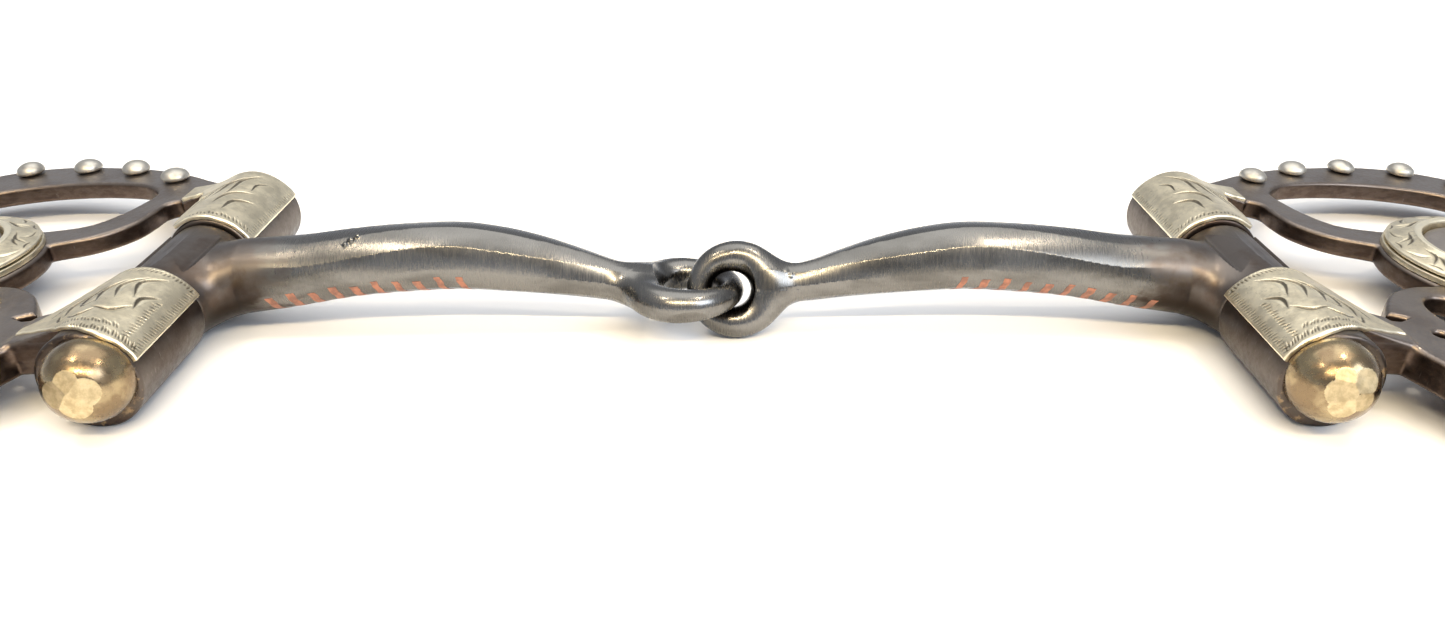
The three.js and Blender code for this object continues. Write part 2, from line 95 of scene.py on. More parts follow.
# the weld under the cuffs: from y, to y, out to x, fillet
WELDS = [(-22.4, LOBE_END, 10.6, 1.4), (22.4, BARREL.far_end, 10.4, 1.2)]
INLAY = Named(
    count=10, first=32.0, pitch=2.75, slant=1.1, width=(0.8, 1.1), top=(14, 24),
    bottom=(78, 86), deep=0.45, proud=0.03,
)
CANNON_FLATS = Named(sides=9, depth=0.55, first=20)
EYE_FLATS = Named(sides=7, depth=0.4, twist=0.35)
FILLET = Named(eye=3.0, lump=0.25, stem=2.2, strap=0.35, plate=0.5, boss=1.6)
EDGE = Named(sleeve=0.5, tube=0.4, strap=0.2, plate=0.6, weld=0.3, pin=0.4)
# the strap sweeps this far round the sleeve, in degrees, as the cheek turns
STRAP_SWEEP = (121, 152)
SHARP_DEGREES = 34

EYES = {
    "left": Named(x=-3.4, along=5.9, across=6.6, tilt=-7, side=2.35, tip=1.65),
    "right": Named(x=2.9, along=4.6, across=4.35, tilt=67, side=2.25, tip=1.65),
}
EYE_Z = 6.1
# distance from the middle of the mouth, height of the centre line, diameter
CANNON = [
    (61.4, 7.5, 9.9), (54, 8.3, 9.4), (47, 9.4, 9.1), (40, 10.1, 9.1), (33, 10.4, 9.0), (27.5, 9.9, 8.6),
    (22, 9.0, 7.7), (17, 7.9, 6.5), (12.5, 6.8, 5.4),
]
# crumbs of weld: distance out, degrees round the bar (90 is the top, 180 the front), radius
WELD_LUMPS = {
    "left": [(9.8, 128, 0.55), (10.6, 120, 0.45), (9.3, 114, 0.4), (46.2, 118, 0.45), (45.5, 110, 0.35),
             (46.9, 125, 0.3)],
    "right": [(8.6, 132, 0.7), (9.5, 124, 0.6), (9.1, 142, 0.5), (10.2, 134, 0.4)],
}
# the stem between cannon and sleeve: distance out, height, half width, half height
STEM = [
    (61.4, 7.5, 4.95, 4.95), (63, 7.15, 5.4, 5), (64.7, 6.75, 6.1, 5.05), (66.6, 6.4, 6.9, 5.1),
    (69, 6.1, 7.6, 4.8),
]

LOOP_OUTER = [
    (5.5, 28.4), (10.6, 32.8), (15.5, 36.2), (22, 39.5), (30, 42), (38.5, 43.6), (46.5, 42.8), (53.4, 39),
    (58, 32), (59.3, 23.5), (57, 13.5), (50, 5), (36, 0), (24, 8), (18.3, 10.3), (15.7, 12.5), (13.8, 15.6),
    (13.1, 19.2), (12.6, 22.6), (9.8, 23.8), (5.5, 22.6),
]
LOOP_INNER = [
    (16.5, 27.4), (19.5, 31.2), (24.5, 33.2), (31.5, 34.4), (39, 34.2), (46.5, 31.8), (51, 26.6),
    (51.4, 20.4), (47.5, 15), (36.6, 14), (24.6, 14.3), (20.6, 15.6), (18.4, 18.8), (17, 23),
]
SHANK = [
    (12.2, -13.6), (13.4, -11.2), (16, -7.6), (19.4, -5.4), (25, -4.2), (36, -2), (46, -4), (45.4, -11),
    (41.5, -19.5), (36.6, -28), (33.8, -38), (32.8, -49), (31, -61), (27.4, -73), (23.6, -84), (22, -95),
    (14, -95), (14.4, -84), (16.4, -72), (18.2, -60), (18.3, -48), (16.2, -37), (13, -29.5), (11.3, -25),
    (10.2, -22.3),
]
NECK = [(5, -22.3), (5, -15.2), (12.6, -15.6), (14.2, -14.6)]
STUD_PLACES = [(16, 33.4), (24.8, 38.3), (34.2, 40.9), (44.2, 40.9), (52, 36.9), (56, 29.2), (56, 20.2)]


# ---- curves and distances ----
def ramp(x, a, b):
    """Rises softly from 0 at a to 1 at b."""
    t = np.clip((np.asarray(x, float) - a) / (b - a), 0, 1)
    return t * t * (3 - 2 * t)


def flowing(points, count, closed=False):
    """Centripetal Catmull-Rom curve through the points."""
    p = np.array(points, float)
    if closed:
        p = np.vstack([p[-1:], p, p[:2]])
    else:
        p = np.vstack([2 * p[0] - p[1], p, 2 * p[-1] - p[-2]])
    spans = len(p) - 3
    at = np.linspace(0, spans, count, endpoint=not closed)
    i = np.minimum(at.astype(int), spans - 1)
    t = (at - i)[:, None]
    a, b, c, d = p[i], p[i + 1], p[i + 2], p[i + 3]
    ab, bc, cd = (np.sqrt(np.linalg.norm(q - r, axis=1))[:, None] for q, r in ((b, a), (c, b), (d, c)))
    leave = ((b - a) / ab - (c - a) / (ab + bc) + (c - b) / bc) * bc
    arrive = ((c - b) / bc - (d - b) / (bc + cd) + (d - c) / cd) * bc
    return (
        (2 * t**3 - 3 * t**2 + 1) * b + (t**3 - 2 * t**2 + t) * leave
        + (3 * t**2 - 2 * t**3) * c + (t**3 - t**2) * arrive
    )


def along(table, x, samples=240):
    """The table's other columns at distance x from the middle of the mouth."""
    line = flowing(table, samples)
    line = line[np.argsort(line[:, 0])]
    return [np.interp(x, line[:, 0], line[:, c]) for c in range(1, line.shape[1])]


def common(*fields):
    """What several shapes have in common; a negative one is cut away."""
    return functools.reduce(np.maximum, fields)


def join(a, b, fillet):
    """Union of two shapes with a weld-like fillet."""
    h = np.clip(0.5 + 0.5 * (b - a) / fillet, 0, 1)
    return b * (1 - h) + a * h - fillet * h * (1 - h)


def slab(flat, height, rounding):
    """A profile pushed up to a height: both are signed distances, and the edge between them is rounded."""
    p = flat + rounding
    q = height + rounding
    return np.hypot(np.maximum(p, 0), np.maximum(q, 0)) + np.minimum(np.maximum(p, q), 0) - rounding


def outline_distance(x, y, outline):
    """Signed distance from points to a closed outline, negative inside."""
    best = np.full(np.broadcast(x, y).shape, 1e9)
    inside = np.zeros(best.shape, bool)
    for (ax, ay), (bx, by) in zip(outline, np.roll(outline, -1, axis=0)):
        dx, dy = bx - ax, by - ay
        t = np.clip(((x - ax) * dx + (y - ay) * dy) / (dx * dx + dy * dy), 0, 1)
        best = np.minimum(best, (x - ax - t * dx) ** 2 + (y - ay - t * dy) ** 2)
        if ay != by:
            inside ^= ((y < ay) != (y < by)) & (x < ax + (y - ay) * dx / dy)
    return np.where(inside, -1, 1) * np.sqrt(best)


def interpolated(values, low, step):
    """Reads a flat grid of values between its points."""
    def read(x, y):
        x, y = np.broadcast_arrays(x, y)
        u = np.clip((x - low[0]) / step, 0, values.shape[0] - 1.001)
        v = np.clip((y - low[1]) / step, 0, values.shape[1] - 1.001)
        i, j = u.astype(int), v.astype(int)
        u, v = u - i, v - j
        return (
            (values[i, j] * (1 - u) + values[i + 1, j] * u) * (1 - v)
            + (values[i, j + 1] * (1 - u) + values[i + 1, j + 1] * u) * v
        )
    return read


def slope(field, points, reach=0.04):
    """Gradient of a field at points."""
    columns = []
    for axis in np.eye(3):
        ahead, behind = points + axis * reach, points - axis * reach
        columns.append((field(*ahead.T) - field(*behind.T)) / (2 * reach))
    return np.stack(columns, axis=1)


def carve(field, low, high, step):
    """The closed surface where field is zero: (points, quads, normals)."""
    x, y, z = (np.arange(a - 2 * step, b + 3 * step, step) for a, b in zip(low, high))
    inside = field(x[:, None, None], y[None, :, None], z[None, None, :]) < 0
    a, b, c = (size - 1 for size in inside.shape)
    filled = sum(
        inside[i:a + i, j:b + j, k:c + k].astype(np.int8)
        for i in (0, 1) for j in (0, 1) for k in (0, 1)
    )
    surface = (filled > 0) & (filled < 8)
    number = np.full(surface.shape, -1)
    number[surface] = np.arange(surface.sum())
    cells = np.argwhere(surface)
    points = np.stack([line[cells[:, c]] for c, line in enumerate((x, y, z))], axis=1) + step / 2
    quads = []
    for axis in range(3):
        lower = np.take(inside, range(inside.shape[axis] - 1), axis)
        upper = np.take(inside, range(1, inside.shape[axis]), axis)
        edges = np.argwhere(lower != upper)
        u, v = np.eye(3, dtype=int)[(axis + 1) % 3], np.eye(3, dtype=int)[(axis + 2) % 3]
        ring = np.stack([number[tuple((edges - s).T)] for s in (0 * u, u, u + v, v)], axis=1)
        if (ring < 0).any():
            raise ValueError("the box is too tight and cuts through the surface")
        outward = lower[tuple(edges.T)]
        quads.append(np.where(outward[:, None], ring, ring[:, ::-1]))
    for _ in range(3):
        grade = slope(field, points)
        size = np.maximum((grade**2).sum(axis=1), 0.1)
        shift = grade * (field(*points.T) / size)[:, None]
        points = points - np.clip(shift, -step, step)
    normals = slope(field, points)
    normals /= np.maximum(np.linalg.norm(normals, axis=1), 1e-9)[:, None]
    return points, np.vstack(quads), normals


# ---- meshes ----
def arm_place(points, sign):
    """From an arm's own frame, in millimetres, to the bit's."""
    return np.column_stack([sign * points[:, 0], points[:, 1] + HINGE_Y, points[:, 2]])


def cheek_place(points, sign):
    """From a cheek's own frame, in millimetres, to the bit's."""
    x, y, z = points.T
    return np.column_stack([
        sign * (HINGE_X + x * math.cos(DROOP) + z * math.sin(DROOP)),
        y + HINGE_Y,
        AXIS_Z - x * math.sin(DROOP) + z * math.cos(DROOP),
    ])


def added(name, data):
    """A new object in the scene."""
    obj = bpy.data.objects.new(name, data)
    bpy.context.scene.collection.objects.link(obj)
    return obj


def piece(side, part, name, node, finish, points, faces, normals=None, cut=None):
    """A shown piece, from points in its own frame, riding on a side's part in place of a CAD node."""
    name, body, replaced = f"{side}_{name}", f"{side}_{part}", [f"{side}_{node}"]
    sign = SIDES[side]
    place = cheek_place if part == "cheek" else arm_place
    spots = place(np.asarray(points, float), sign) * MM
    faces = np.asarray(faces)
    if sign < 0:
        faces = faces[:, ::-1]
    mesh = bpy.data.meshes.new(name)
    mesh.from_pydata(spots.tolist(), [], faces.tolist())
    mesh.shade_smooth()
    if normals is not None:
        origin = place(np.zeros((1, 3)), sign)
        turned = place(np.asarray(normals, float), sign) - origin
        mesh.normals_split_custom_set_from_vertices(turned.tolist())
    else:
        mesh.set_sharp_from_angle(angle=math.radians(SHARP_DEGREES))
    shade = mesh.attributes.new("cut", "FLOAT", "POINT")
    shade.data.foreach_set("value", np.zeros(len(spots)) if cut is None else np.asarray(cut, float))
    mesh.materials.append(finish.material)
    obj = added(name, mesh)
    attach(obj, body)
    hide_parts(*replaced)
    return obj


def net(rows, columns, wrap_rows=False, wrap_columns=False):
    """Quads over a rows x columns grid of points, numbered row by row."""
    r = np.arange(rows if wrap_rows else rows - 1)[:, None]
    c = np.arange(columns if wrap_columns else columns - 1)[None, :]
    r2, c2 = (r + 1) % rows, (c + 1) % columns
    corners = [r * columns + c, r * columns + c2, r2 * columns + c2, r2 * columns + c]
    return np.stack([np.broadcast_to(q, (r.size, c.size)) for q in corners], axis=-1).reshape(-1, 4)


def turned(profile, segments, axis="y"):
    """A closed body turned from a profile of (radius, place) that closes on itself or the axis."""
    profile = np.array(profile, float)
    angle = np.linspace(0, 2 * math.pi, segments, endpoint=False)
    radius, place = profile[:, 0][:, None], profile[:, 1][:, None]
    level = np.broadcast_to(place, (len(profile), segments))
    ring = [radius * np.cos(angle), radius * np.sin(angle), level]
    if axis == "y":
        ring = [ring[0], ring[2], -ring[1]]
    points = np.stack(ring, axis=-1).reshape(-1, 3)
    return points, net(len(profile), segments, wrap_columns=True)[:, ::-1]


def rounded(corners, radius, steps=4):
    """The profile as an array, each inner corner rounded; the first and last points stay."""
    corners = np.array(corners, float)
    line = [corners[0]]
    for before, corner, after in zip(corners, corners[1:], corners[2:]):
        back, ahead = before - corner, after - corner
        reach = min(radius, np.linalg.norm(back) / 2, np.linalg.norm(ahead) / 2)
        start = corner + back / np.linalg.norm(back) * reach
        end = corner + ahead / np.linalg.norm(ahead) * reach
        for t in np.linspace(0, 1, steps + 1):
            line.append((1 - t) ** 2 * start + 2 * t * (1 - t) * corner + t * t * end)
    line.append(corners[-1])
    return np.array(line)


# ---- finishes ----
class Finish:
    """A procedural metal. Textures are read in millimetres in the piece's own place."""

    def __init__(self, name, slot, colour, roughness, metallic=1.0):
        self.slot = slot
        self.material = bpy.data.materials.new(name)
        self.material.use_nodes = True
        self.nodes = self.material.node_tree.nodes
        self.links = self.material.node_tree.links
        self.shader = self.nodes["Principled BSDF"]
        self.shader.inputs["Metallic"].default_value = metallic
        self.shader.inputs["Roughness"].default_value = roughness
        self.shader.inputs["Base Color"].default_value = (*colour, 1)
        self.place = self.nodes.new("ShaderNodeTexCoord").outputs["Object"]
        self.colour = None
        self.height = None

    def add(self, kind, settings=(), **inputs):
        """A node with its inputs given by name, or as i0, i1 and so on by number."""
        node = self.nodes.new(kind)
        for key, value in dict(settings).items():
            setattr(node, key, value)
        for key, value in inputs.items():
            socket = node.inputs[int(key[1:])] if key[0] == "i" and key[1:].isdigit() else node.inputs[key]
            if isinstance(value, bpy.types.NodeSocket):
                self.links.new(value, socket)
            else:
                socket.default_value = value
        return node

    def noise(self, per_mm, detail=3.0, roughness=0.55):
        """Noise with per_mm = grains per millimetre, either one number or one each along x, y and z."""
        scale = tuple(float(p) / MM for p in np.broadcast_to(per_mm, 3))
        spread = self.add("ShaderNodeMapping", i0=self.place, i3=scale)
        return self.add("ShaderNodeTexNoise", Vector=spread.outputs[0], Scale=1.0, Detail=detail,
                        Roughness=roughness).outputs["Fac"]

    def span(self, value, low, high, out_low=0.0, out_high=1.0):
        """The value carried softly from low..high to out_low..out_high."""
        return self.add("ShaderNodeMapRange", {"interpolation_type": "SMOOTHSTEP"}, i0=value, i1=low,
                        i2=high, i3=out_low, i4=out_high).outputs[0]

    def maths(self, operation, a, b=0.0):
        return self.add("ShaderNodeMath", {"operation": operation}, i0=a, i1=b).outputs[0]

    def blend(self, share, a, b):
        """Colour a where share is 0 and b where it is 1."""
        mix = self.add("ShaderNodeMix", {"data_type": "RGBA"}, i0=share)
        for socket, value in ((mix.inputs[6], a), (mix.inputs[7], b)):
            if isinstance(value, bpy.types.NodeSocket):
                self.links.new(value, socket)
            else:
                socket.default_value = (*value, 1)
        return mix.outputs[2]

    def tint(self, share, colour):
        """Lays a colour over what is there already."""
        below = self.colour or tuple(self.shader.inputs["Base Color"].default_value)[:3]
        self.colour = self.blend(share, below, colour)

    def stain(self, value, low, high, colour, most=1.0):
        """Lays a colour on as the value goes from low to high, up to a share of most."""
        self.tint(self.span(value, low, high, 0.0, most), colour)

    def patchy(self, per_mm, detail, low, high, colour, most=1.0, roughness=0.55):
        """The same in patches of noise."""
        self.stain(self.noise(per_mm, detail, roughness), low, high, colour, most)

    def read(self, name):
        """A value stored on the mesh's points."""
        return self.add("ShaderNodeAttribute", {"attribute_name": name}).outputs["Fac"]

    def across(self, axis):
        """Place along an axis, in millimetres."""
        split = self.add("ShaderNodeSeparateXYZ", i0=self.place)
        return self.maths("MULTIPLY", split.outputs[axis], 1 / MM)

    def upward(self):
        """How far the surface faces up: 1 on top, -1 underneath."""
        normal = self.add("ShaderNodeTexCoord").outputs["Normal"]
        return self.add("ShaderNodeSeparateXYZ", i0=normal).outputs[2]

    def rough(self, value):
        self.links.new(value, self.shader.inputs["Roughness"])

    def bump(self, height, depth_mm, strength=1.0):
        below = {"Normal": self.height} if self.height else {}
        self.height = self.add("ShaderNodeBump", Height=height, Distance=depth_mm * MM, Strength=strength,
                               **below).outputs[0]

    def done(self):
        if self.colour:
            self.links.new(self.colour, self.shader.inputs["Base Color"])
        if self.height:
            self.links.new(self.height, self.shader.inputs["Normal"])
        return self


def sweet_iron():
    """Hand-filed iron, brushed across the bar and browned towards the sleeves."""
    f = Finish("sweet_iron_filed", "sweet_iron", (0.205, 0.199, 0.188), 0.24)
    f.patchy((0.09, 0.25, 0.25), 5, 0.40, 0.66, (0.125, 0.120, 0.111))
    grain = f.noise((6.0, 0.5, 0.5), 4, 0.65)
    f.stain(grain, 0.50, 0.72, (0.25, 0.24, 0.225), 0.10)
    ends = f.maths("ABSOLUTE", f.across(0))
    ragged = f.maths("ADD", ends, f.span(f.noise((0.25, 0.4, 0.4), 4), 0.3, 0.7, -3.0, 3.0))
    browned = f.span(ragged, 52.0, 61.0)
    f.tint(browned, (0.135, 0.118, 0.107))
    warm = f.maths("MULTIPLY", browned, f.span(f.noise(0.2, 5), 0.46, 0.68))
    f.tint(warm, (0.095, 0.072, 0.058))
    # painted shade: the browned sleeve is darkened on its downward faces
    painted_underside_shade = f.span(f.upward(), 0.25, -0.45)
    f.tint(f.maths("MULTIPLY", browned, painted_underside_shade), (0.030, 0.021, 0.016))
    bare = f.maths("SUBTRACT", 1.0, browned)
    # painted shade: the upward faces of the bare iron are darkened to dim their reflection of the bright
    # ceiling
    f.tint(f.maths("MULTIPLY", bare, f.span(f.upward(), 0.45, 0.95, 0.0, 0.55)), (0.135, 0.132, 0.125))
    f.patchy(0.8, 6, 0.68, 0.76, (0.05, 0.04, 0.033), 0.8, 0.7)
    # painted shade: the cut value darkens hollows, creases and the gap between the eyes; it also gives the
    # stamped flat on the left eye a darker tone of its own
    f.stain(f.read("cut"), 0.22, 0.85, (0.038, 0.031, 0.025), 0.9)
    f.rough(f.maths("ADD", f.span(grain, 0.3, 0.7, 0.22, 0.31), f.maths("MULTIPLY", browned, 0.13)))
    f.bump(grain, 0.0018)
    f.bump(f.noise((0.35, 0.5, 0.5), 3), 0.02, 0.35)
    return f.done()


def sweet_iron_ring():
    """The same iron on the loose rings, without the browned ends."""
    f = Finish("sweet_iron_ring", "sweet_iron", (0.20, 0.192, 0.180), 0.36)
    f.patchy(0.2, 5, 0.40, 0.68, (0.13, 0.116, 0.103))
    grain = f.noise(2.2, 5, 0.7)
    f.rough(f.span(grain, 0.3, 0.7, 0.30, 0.44))
    f.bump(grain, 0.02, 0.7)
    return f.done()


def brown_steel(name, colour, warm, roughness):
    """Browned steel with worn patches, fine scratches and darker scale."""
    f = Finish(name, "brown_steel", colour, roughness)
    f.patchy(0.12, 5, 0.42, 0.66, warm)
    f.patchy((0.35, 5.0, 0.8), 3, 0.62, 0.78, (0.33, 0.30, 0.27), 0.4)
    flecks = f.noise(1.1, 6, 0.75)
    f.stain(flecks, 0.66, 0.76, (0.07, 0.05, 0.04), 0.7)
    rubbed = f.maths("MULTIPLY", f.read("cut"), f.span(f.noise(0.6, 5, 0.7), 0.52, 0.62))
    f.tint(rubbed, (0.27, 0.195, 0.120))
    f.rough(f.span(flecks, 0.3, 0.7, roughness - 0.07, roughness + 0.12))
    f.bump(flecks, 0.03, 0.6)
    f.bump(f.noise(0.3, 3), 0.08, 0.5)
    return f.done()


def plate_steel():
    """The cheek plate: satin face, darker browned walls."""
    f = Finish("brown_steel_plate", "brown_steel", (0.245, 0.213, 0.190), 0.38)
    f.patchy(0.12, 5, 0.42, 0.68, (0.190, 0.158, 0.137))
    wall = f.span(f.upward(), 0.25, 0.75, 1.0, 0.0)
    mottled = f.span(f.noise((0.5, 0.5, 1.2), 5, 0.7), 0.4, 0.62)
    f.tint(wall, f.blend(mottled, (0.092, 0.065, 0.051), (0.125, 0.093, 0.075)))
    f.patchy((0.4, 4.0, 0.4), 4, 0.64, 0.76, (0.36, 0.33, 0.30), 0.35)
    flecks = f.noise(1.3, 6, 0.75)
    f.stain(flecks, 0.66, 0.78, (0.06, 0.045, 0.035), 0.6)
    # painted shade: the rounded edges of the face are darkened to dim their highlights
    f.stain(f.read("cut"), 0.35, 0.95, (0.14, 0.112, 0.092), 0.6)
    f.rough(f.span(flecks, 0.3, 0.7, 0.30, 0.46))
    f.bump(flecks, 0.03, 0.6)
    f.bump(f.noise(0.25, 3), 0.10, 0.5)
    return f.done()


def german_silver():
    """Yellowish tarnished silver, dark in the engraved cuts and bright on their crests."""
    f = Finish("german_silver_engraved", "german_silver", (0.78, 0.700, 0.520), 0.42)
    f.patchy(0.30, 6, 0.40, 0.62, (0.58, 0.520, 0.385), 1.0, 0.65)
    f.patchy(1.6, 5, 0.56, 0.74, (0.385, 0.345, 0.258), 0.75, 0.7)
    f.stain(f.read("cut"), 0.08, 0.60, (0.085, 0.070, 0.050), 0.85)
    f.stain(f.read("cut"), -0.05, -0.5, (0.93, 0.86, 0.67), 0.85)
    grain = f.noise((1.4, 4.5, 1.4), 5, 0.7)
    f.rough(f.span(grain, 0.3, 0.7, 0.32, 0.50))
    f.bump(grain, 0.03, 0.6)
    f.bump(f.noise(0.45, 4), 0.10, 0.6)
    return f.done()


def bright_nickel():
    f = Finish("bright_nickel", "bright_nickel", (0.50, 0.48, 0.43), 0.42)
    f.patchy(0.6, 5, 0.45, 0.7, (0.36, 0.34, 0.30))
    f.rough(f.span(f.noise(1.5, 4), 0.35, 0.7, 0.38, 0.52))
    f.bump(f.noise(0.8, 3), 0.012, 0.5)
    return f.done()


def tarnished_brass():
    """Polished brass gone brown, with pale flats worn or filed on its end."""
    f = Finish("tarnished_brass", "brass", (0.37, 0.29, 0.170), 0.28)
    f.patchy(0.30, 5, 0.38, 0.60, (0.215, 0.155, 0.092))
    mottled = f.span(f.noise(0.9, 6, 0.7), 0.35, 0.65)
    worn = f.blend(mottled, (0.46, 0.365, 0.215), (0.66, 0.545, 0.34))
    f.tint(f.span(f.read("cut"), 0.3, 0.7), worn)
    polished = f.span(f.noise(1.2, 4), 0.35, 0.7, 0.20, 0.33)
    f.rough(f.maths("ADD", polished, f.maths("MULTIPLY", f.read("cut"), 0.26)))
    f.bump(f.noise(2.0, 4), 0.012, 0.6)
    return f.done()


def copper():
    f = Finish("copper_inlay", "copper", (0.44, 0.195, 0.125), 0.42, 0.75)
    f.patchy(0.9, 5, 0.42, 0.62, (0.27, 0.135, 0.098))
    f.rough(f.span(f.noise((2.5, 0.5, 0.5), 4), 0.3, 0.7, 0.36, 0.55))
    f.bump(f.noise((3.0, 0.6, 0.6), 4), 0.02, 0.7)
    return f.done()


# ---- mouthpiece arms ----
def cannon_table(eye):
    """The cannon carried on to the root of its eye."""
    return [*CANNON, (abs(eye.x) + eye.along - 0.4, EYE_Z, 2 * eye.side)]


def faceted(angle, sides, depth):
    """Share of the radius left by flats filed round a bar: depth 1 gives a full polygon."""
    turn = np.mod(angle, 2 * math.pi / sides) - math.pi / sides
    return 1 + (math.cos(math.pi / sides) / np.cos(turn) - 1) * depth


def filed(x, angle):
    """The long hand-filed flats of the cannon, wandering a little round the bar."""
    wander = 0.16 * np.sin(x * 0.09 + 0.7) + 0.10 * np.sin(x * 0.21)
    fading = CANNON_FLATS.depth * ramp(x, 60.0, 50.0)
    return faceted(angle + wander + math.radians(CANNON_FLATS.first), CANNON_FLATS.sides, fading)


def bar_section(eye, x):
    """Height of the centre line and radius at distance x."""
    z, diameter = along(cannon_table(eye), x)
    return z, diameter / 2


def bar_field(eye):
    """The cannon, from the root of its eye to a little past the seam with the sleeve."""
    root = cannon_table(eye)[-1][0]

    def field(x, y, z):
        middle, radius = bar_section(eye, x)
        angle = np.arctan2(z - middle, y - MOUTH_Y)
        bar = np.hypot(y - MOUTH_Y, z - middle) - radius * filed(x, angle)
        return common(bar, root - 0.5 - x, x - SLEEVE.seam - 1)
    return field


def eye_field(eye):
    """The link eye, brought to the +X side of the mouth."""
    tilt = math.radians(eye.tilt)
    centre_x = abs(eye.x)

    def field(x, y, z):
        p = (x - centre_x) / eye.along
        across = (y - LINK_Y) * math.cos(tilt) + (z - EYE_Z) * math.sin(tilt)
        lift = -(y - LINK_Y) * math.sin(tilt) + (z - EYE_Z) * math.cos(tilt)
        q = across / eye.across
        turn = np.arctan2(q, -p)
        reach = np.hypot(x - centre_x + eye.along * np.cos(turn), across - eye.across * np.sin(turn))
        wear = ((1 + np.cos(turn)) / 2) ** 2
        wire = eye.side + (eye.tip - eye.side) * wear
        round_wire = np.arctan2(lift, across * np.sin(turn) - (x - centre_x) * np.cos(turn))
        flats = faceted(round_wire + EYE_FLATS.twist * turn, EYE_FLATS.sides, EYE_FLATS.depth)
        return np.hypot(reach, lift) - wire * flats
    return field


def sleeve_field(x, y, z):
    """T-shaped sleeve with its flared stem, bored for the pin."""
    middle, half_y, half_z = along(STEM, np.clip(x, STEM[0][0], SLEEVE.stem_end))
    stem = (np.hypot((y - MOUTH_Y) / half_y, (z - middle) / half_z) - 1) * np.minimum(half_y, half_z)
    stem = common(stem, SLEEVE.seam - 2 - x, x - SLEEVE.stem_end)
    radial = np.hypot(x - HINGE_X, z - AXIS_Z)
    low, high = BARREL.near_stop + SLEEVE.gap, BARREL.far_stop - SLEEVE.gap
    barrel = slab(radial - SLEEVE.radius, common(low - y, y - high), EDGE.sleeve)
    # the fillet leaves room for the strap, which comes this far round as the cheek turns
    angle = np.degrees(np.abs(np.arctan2(z - AXIS_Z, x - HINGE_X)))
    room = radial - STRAP.inner + 0.10 - 30 * ramp(angle, *STRAP_SWEEP) ** 2
    return common(join(stem, barrel, FILLET.stem), room, BARREL.bore - radial)


def lump_field(eye, x, y, z, at, degrees, size):
    """A crumb of weld on the bar: distance out, degrees round the bar, radius."""
    middle, radius = bar_section(eye, at)
    a = math.radians(degrees)
    centre = (at, MOUTH_Y + radius * math.cos(a), middle + radius * math.sin(a))
    return np.sqrt((x - centre[0]) ** 2 + (y - centre[1]) ** 2 + (z - centre[2]) ** 2) - size


def stamp_flat(x, y, z):
    """The small oval flat on the front of the left eye, as a plane across the wire."""
    eye = EYES["left"]
    tilt, lean = math.radians(eye.tilt), math.radians(-32)
    front = (LINK_Y - eye.across * math.cos(tilt), EYE_Z - eye.across * math.sin(tilt))
    over = -(y - front[0]) * math.cos(lean) + (z - front[1]) * math.sin(lean)
    return over - 0.10 * (x - abs(eye.x)) - eye.side + 0.62


def arm(side, iron):
    """Cannon, eye and sleeve forged as one, so the browning of the iron runs on over the seam."""
    eye = EYES[side]
    bar, ring = bar_field(eye), eye_field(eye)
    other_ring = eye_field(EYES["left" if side == "right" else "right"])

    def field(x, y, z):
        forged = join(bar(x, y, z), ring(x, y, z), FILLET.eye)
        for lump in WELD_LUMPS[side]:
            forged = join(forged, lump_field(eye, x, y, z, *lump), FILLET.lump)
        if side == "left":
            forged = common(forged, stamp_flat(x, y, z))
        seam = ramp(x, SLEEVE.seam - 1.5, SLEEVE.seam + 0.9)
        return forged * (1 - seam) + sleeve_field(x, y, z) * seam

    tip = abs(eye.x) - eye.along - eye.side
    points, quads, normals = carve(field, (tip, -12, 0), (HINGE_X + 6, 8.5, 15.2), step=0.22)
    # painted shade: hollows, creases and the gap between the eyes are darkened where a point a little off
    # the surface is still close to metal, and the stamped flat gets a darker tone of its own
    reach = 1.7
    x, y, z = (points + reach * normals).T
    hollow_shade_and_stamp = np.clip(1 - np.minimum(field(x, y, z), other_ring(-x, y, z)) / reach, 0, 1)
    if side == "left":
        stamped = np.abs(stamp_flat(*points.T)) < 0.03
        hollow_shade_and_stamp = np.maximum(hollow_shade_and_stamp, 0.42 * stamped)
    outward = points[quads].mean(axis=1)[:, 0] > SLEEVE.seam
    for name, chosen, slot in (("cannon", ~outward, "sweet_iron"), ("sleeve", outward, "brown_steel")):
        used, faces = np.unique(quads[chosen], return_inverse=True)
        shown = piece(side, "arm", f"{name}_forging", name, iron,
                      points[used], faces.reshape(-1, 4), normals[used], hollow_shade_and_stamp[used])


def inlays(side, copper):
    """Small slanting copper strips let into the lower front of the cannon."""
    rows, columns = 24, 7
    for i in range(INLAY.count):
        width = dice.uniform(*INLAY.width)
        top = dice.uniform(*INLAY.top)
        bottom = dice.uniform(*INLAY.bottom)
        degrees = np.linspace(top, bottom, rows)
        down, across = np.meshgrid(np.radians(degrees), np.linspace(-0.5, 0.5, columns), indexing="ij")
        lean = INLAY.slant * (0.5 - (down - down.min()) / np.ptp(down))
        ragged = 0.06 * np.sin(17 * down + 3 * i)
        x = INLAY.first + INLAY.pitch * i + lean + across * width + ragged
        middle, radius = bar_section(EYES[side], x)
        angle = np.pi + down
        surface = radius * filed(x, angle) + INLAY.proud
        layers = []
        for sink in (INLAY.deep, 0.0):
            reach = surface - sink
            y, z = MOUTH_Y + reach * np.cos(angle), middle + reach * np.sin(angle)
            layers.append(np.stack([x, y, z], axis=-1))
        points = np.concatenate([layer.reshape(-1, 3) for layer in layers])
        faces = sheet_faces(rows, columns)[:, ::-1]
        piece(side, "arm", f"inlay_strip_{i + 1}", f"inlay_{i + 1}", copper, points, faces)


